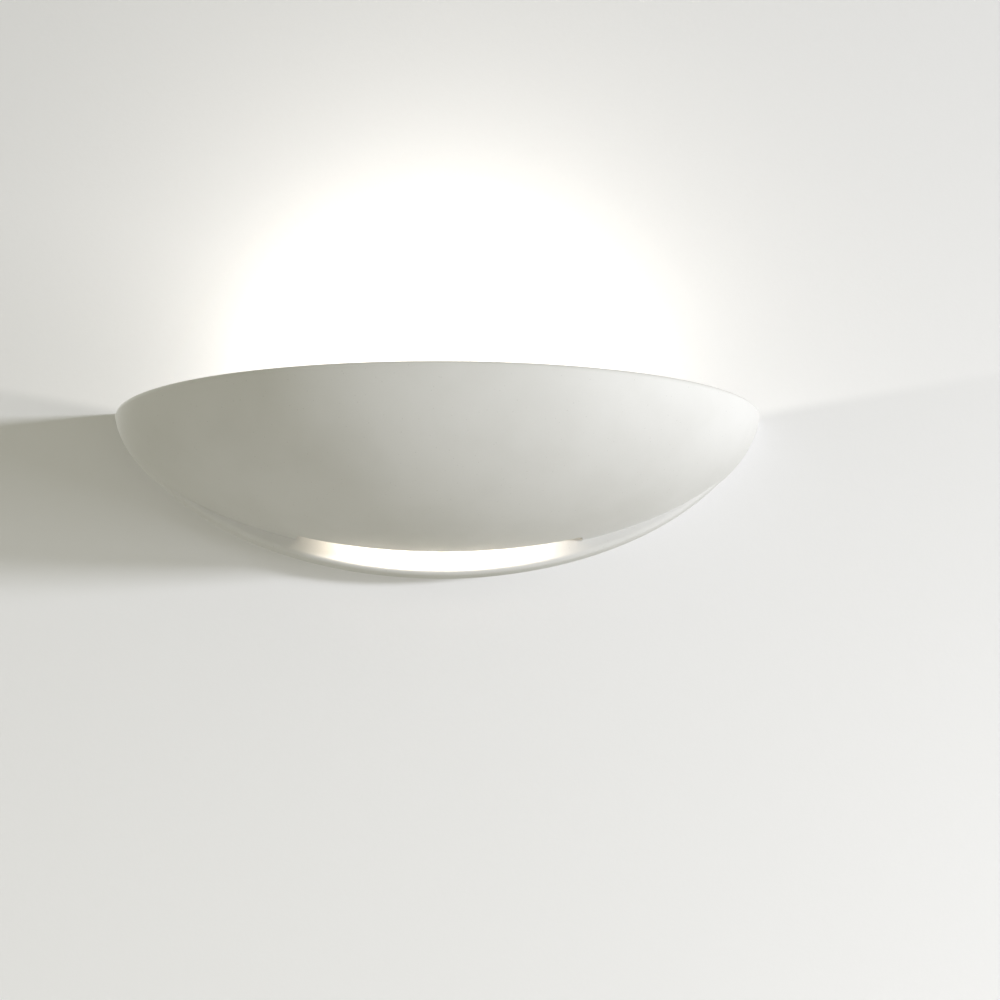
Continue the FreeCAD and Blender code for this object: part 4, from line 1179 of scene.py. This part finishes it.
@dataclass
class Studio:
    """The wall, the floor, the light and the camera."""

    floor_drop: float = 1.1
    floor_colour: Colour = (0.74, 0.73, 0.71)
    floor_paleness: float = 1.12
    world_strength: float = 0.42
    world_colour: Colour = (1.0, 0.98, 0.78)
    window_distance: float = 4.2
    camera_place: Vector = field(default_factory=lambda: Vector((-0.091, -2.2, -0.492)))
    camera_yaw: float = 0.056
    camera_pitch: float = 0.212
    camera_roll: float = -0.0078
    camera_lens: float = 154.4

    def build_floor(self) -> bpy.types.Object:
        """Builds the pale floor, well below the sconce.

        Returns:
            The floor.
        """
        material = bpy.data.materials.new("floor_pale")
        graph = Graph(material)
        clouds = graph.noise(0.4, 3.0)
        tint = graph.mix(clouds * 0.5, self.floor_colour, tuple(0.95 * c for c in self.floor_colour))
        paint = graph.surface(Base_Color=tint, Roughness=0.8)
        backdrop = graph.node("ShaderNodeEmission", inputs={"Color": tint, "Strength": self.floor_paleness})
        view = Value(graph, graph.node("ShaderNodeLightPath").outputs["Is Camera Ray"])
        inputs = {0: view, 1: paint.outputs[0], 2: backdrop.outputs[0]}
        graph.out(graph.node("ShaderNodeMixShader", inputs=inputs))
        low, wide, deep = -self.floor_drop, 3.0, 4.0
        corners = [(-wide, 0.0, low), (-wide, -deep, low), (wide, -deep, low), (wide, 0.0, low)]
        return stage_sheet("floor", corners, material)

    def build_world(self) -> None:
        """Makes the even light of the room, and a white surround where no wall is seen."""
        world = bpy.data.worlds.new("room")
        bpy.context.scene.world = world
        graph = Graph(world)
        inputs = {"Color": self.world_colour, "Strength": self.world_strength}
        soft = graph.node("ShaderNodeBackground", inputs=inputs)
        white = graph.node("ShaderNodeBackground", inputs={"Color": (1.0, 1.0, 1.0), "Strength": 0.95})
        inputs = {0: graph.seen(), 1: soft.outputs[0], 2: white.outputs[0]}
        mixed = graph.node("ShaderNodeMixShader", inputs=inputs)
        graph.out(mixed, "ShaderNodeOutputWorld")

    def window_place(self, angle: float, elevation: float) -> Vector:
        """Where a window light stands.

        Args:
            angle: How far it stands off the wall, in degrees.
            elevation: How far it stands above the level, in degrees.

        Returns:
            Its place.
        """
        turn, rise = math.radians(angle), math.radians(elevation)
        flat = self.window_distance * math.cos(rise)
        return Vector((flat * math.cos(turn), -flat * math.sin(turn), self.window_distance * math.sin(rise)))

    def build_lamps(self, wall: bpy.types.Object) -> None:
        """Makes the window light, the lamp's own light and a fill from behind.

        Args:
            wall: The room's wall, which has a window lamp of its own.
        """
        sconce = Vector((0.0, -0.05, -0.01))
        wide, high, cool, cooler, warm = 0.45, 0.25, (0.93, 0.94, 1.0), (0.91, 0.92, 1.0), (1.0, 0.88, 0.72)
        up, down = Vector((0.0, -0.036, 0.006)), Vector((0.0, -0.030, -0.010))
        lip = Vector((0.0, -0.014, -0.05))
        turns = ((26.0, 3.0), (15.5, 4.5), (15.5, -9.0))
        beside, on_wall, low = (self.window_place(*pair) for pair in turns)
        lamps = [
            AreaLamp("window", beside, sconce, wide, high, 148.0, cool, never=[wall]),
            AreaLamp("window_on_wall", on_wall, sconce, wide, 0.4, 270.0, cooler, only=[wall]),
            AreaLamp("window_low", low, sconce, wide, 1.2, 70.0, cooler, only=[wall]),
            AreaLamp("bulb_up", up, Vector((0.0, -0.036, 1.0)), 0.07, 0.006, 0.12, warm),
            AreaLamp("bulb_down", down, lip, 0.086, 0.006, 0.12, warm, spread=1.7, never=[wall]),
            AreaLamp("back_fill", Vector((-1.2, 1.6, 0.8)), sconce, 1.4, 1.0, 14.0, never=[wall]),
        ]
        for lamp in lamps:
            log.info("lit %s", lamp.build().name)

    def build_camera(self) -> bpy.types.Object:
        """Places the camera where the photograph was taken from.

        Returns:
            The camera.
        """
        yaw, pitch, roll = self.camera_yaw, self.camera_pitch, self.camera_roll
        forward = Vector((math.sin(yaw) * math.cos(pitch), math.cos(yaw) * math.cos(pitch), math.sin(pitch)))
        level = Vector((math.cos(yaw), -math.sin(yaw), 0.0))
        upright = level.cross(forward)
        right = level * math.cos(roll) + upright * math.sin(roll)
        up = upright * math.cos(roll) - level * math.sin(roll)
        data = bpy.data.cameras.new("camera")
        data.lens = self.camera_lens
        data.clip_start, data.clip_end = 0.05, 20.0
        camera = bpy.data.objects.new("camera", data)
        turn = Matrix((right, up, -forward)).transposed().to_4x4()
        camera.matrix_world = Matrix.Translation(self.camera_place) @ turn
        bpy.context.scene.collection.objects.link(camera)
        bpy.context.scene.camera = camera
        return camera

    def build(self) -> None:
        """Builds the whole studio."""
        bpy.context.scene.view_settings.view_transform = "Standard"
        self.build_camera()
        wall = RoomWall().build()
        wall.visible_shadow = wall.visible_diffuse = False
        self.build_floor()
        self.build_world()
        self.build_lamps(wall)


def main() -> None:
    """Builds the sconce and its studio."""
    logging.basicConfig(level=logging.INFO, format="%(message)s")
    Studio().build()
    carriers = (Shade(), WallPlate(), Clamps(), LampBracket())
    electrics = (Lampholders(), Lamp(), Terminals(), Wiring())
    for assembly in carriers + electrics:
        assembly.build()
        assembly.dress()


if __name__ == "__main__":
    main()
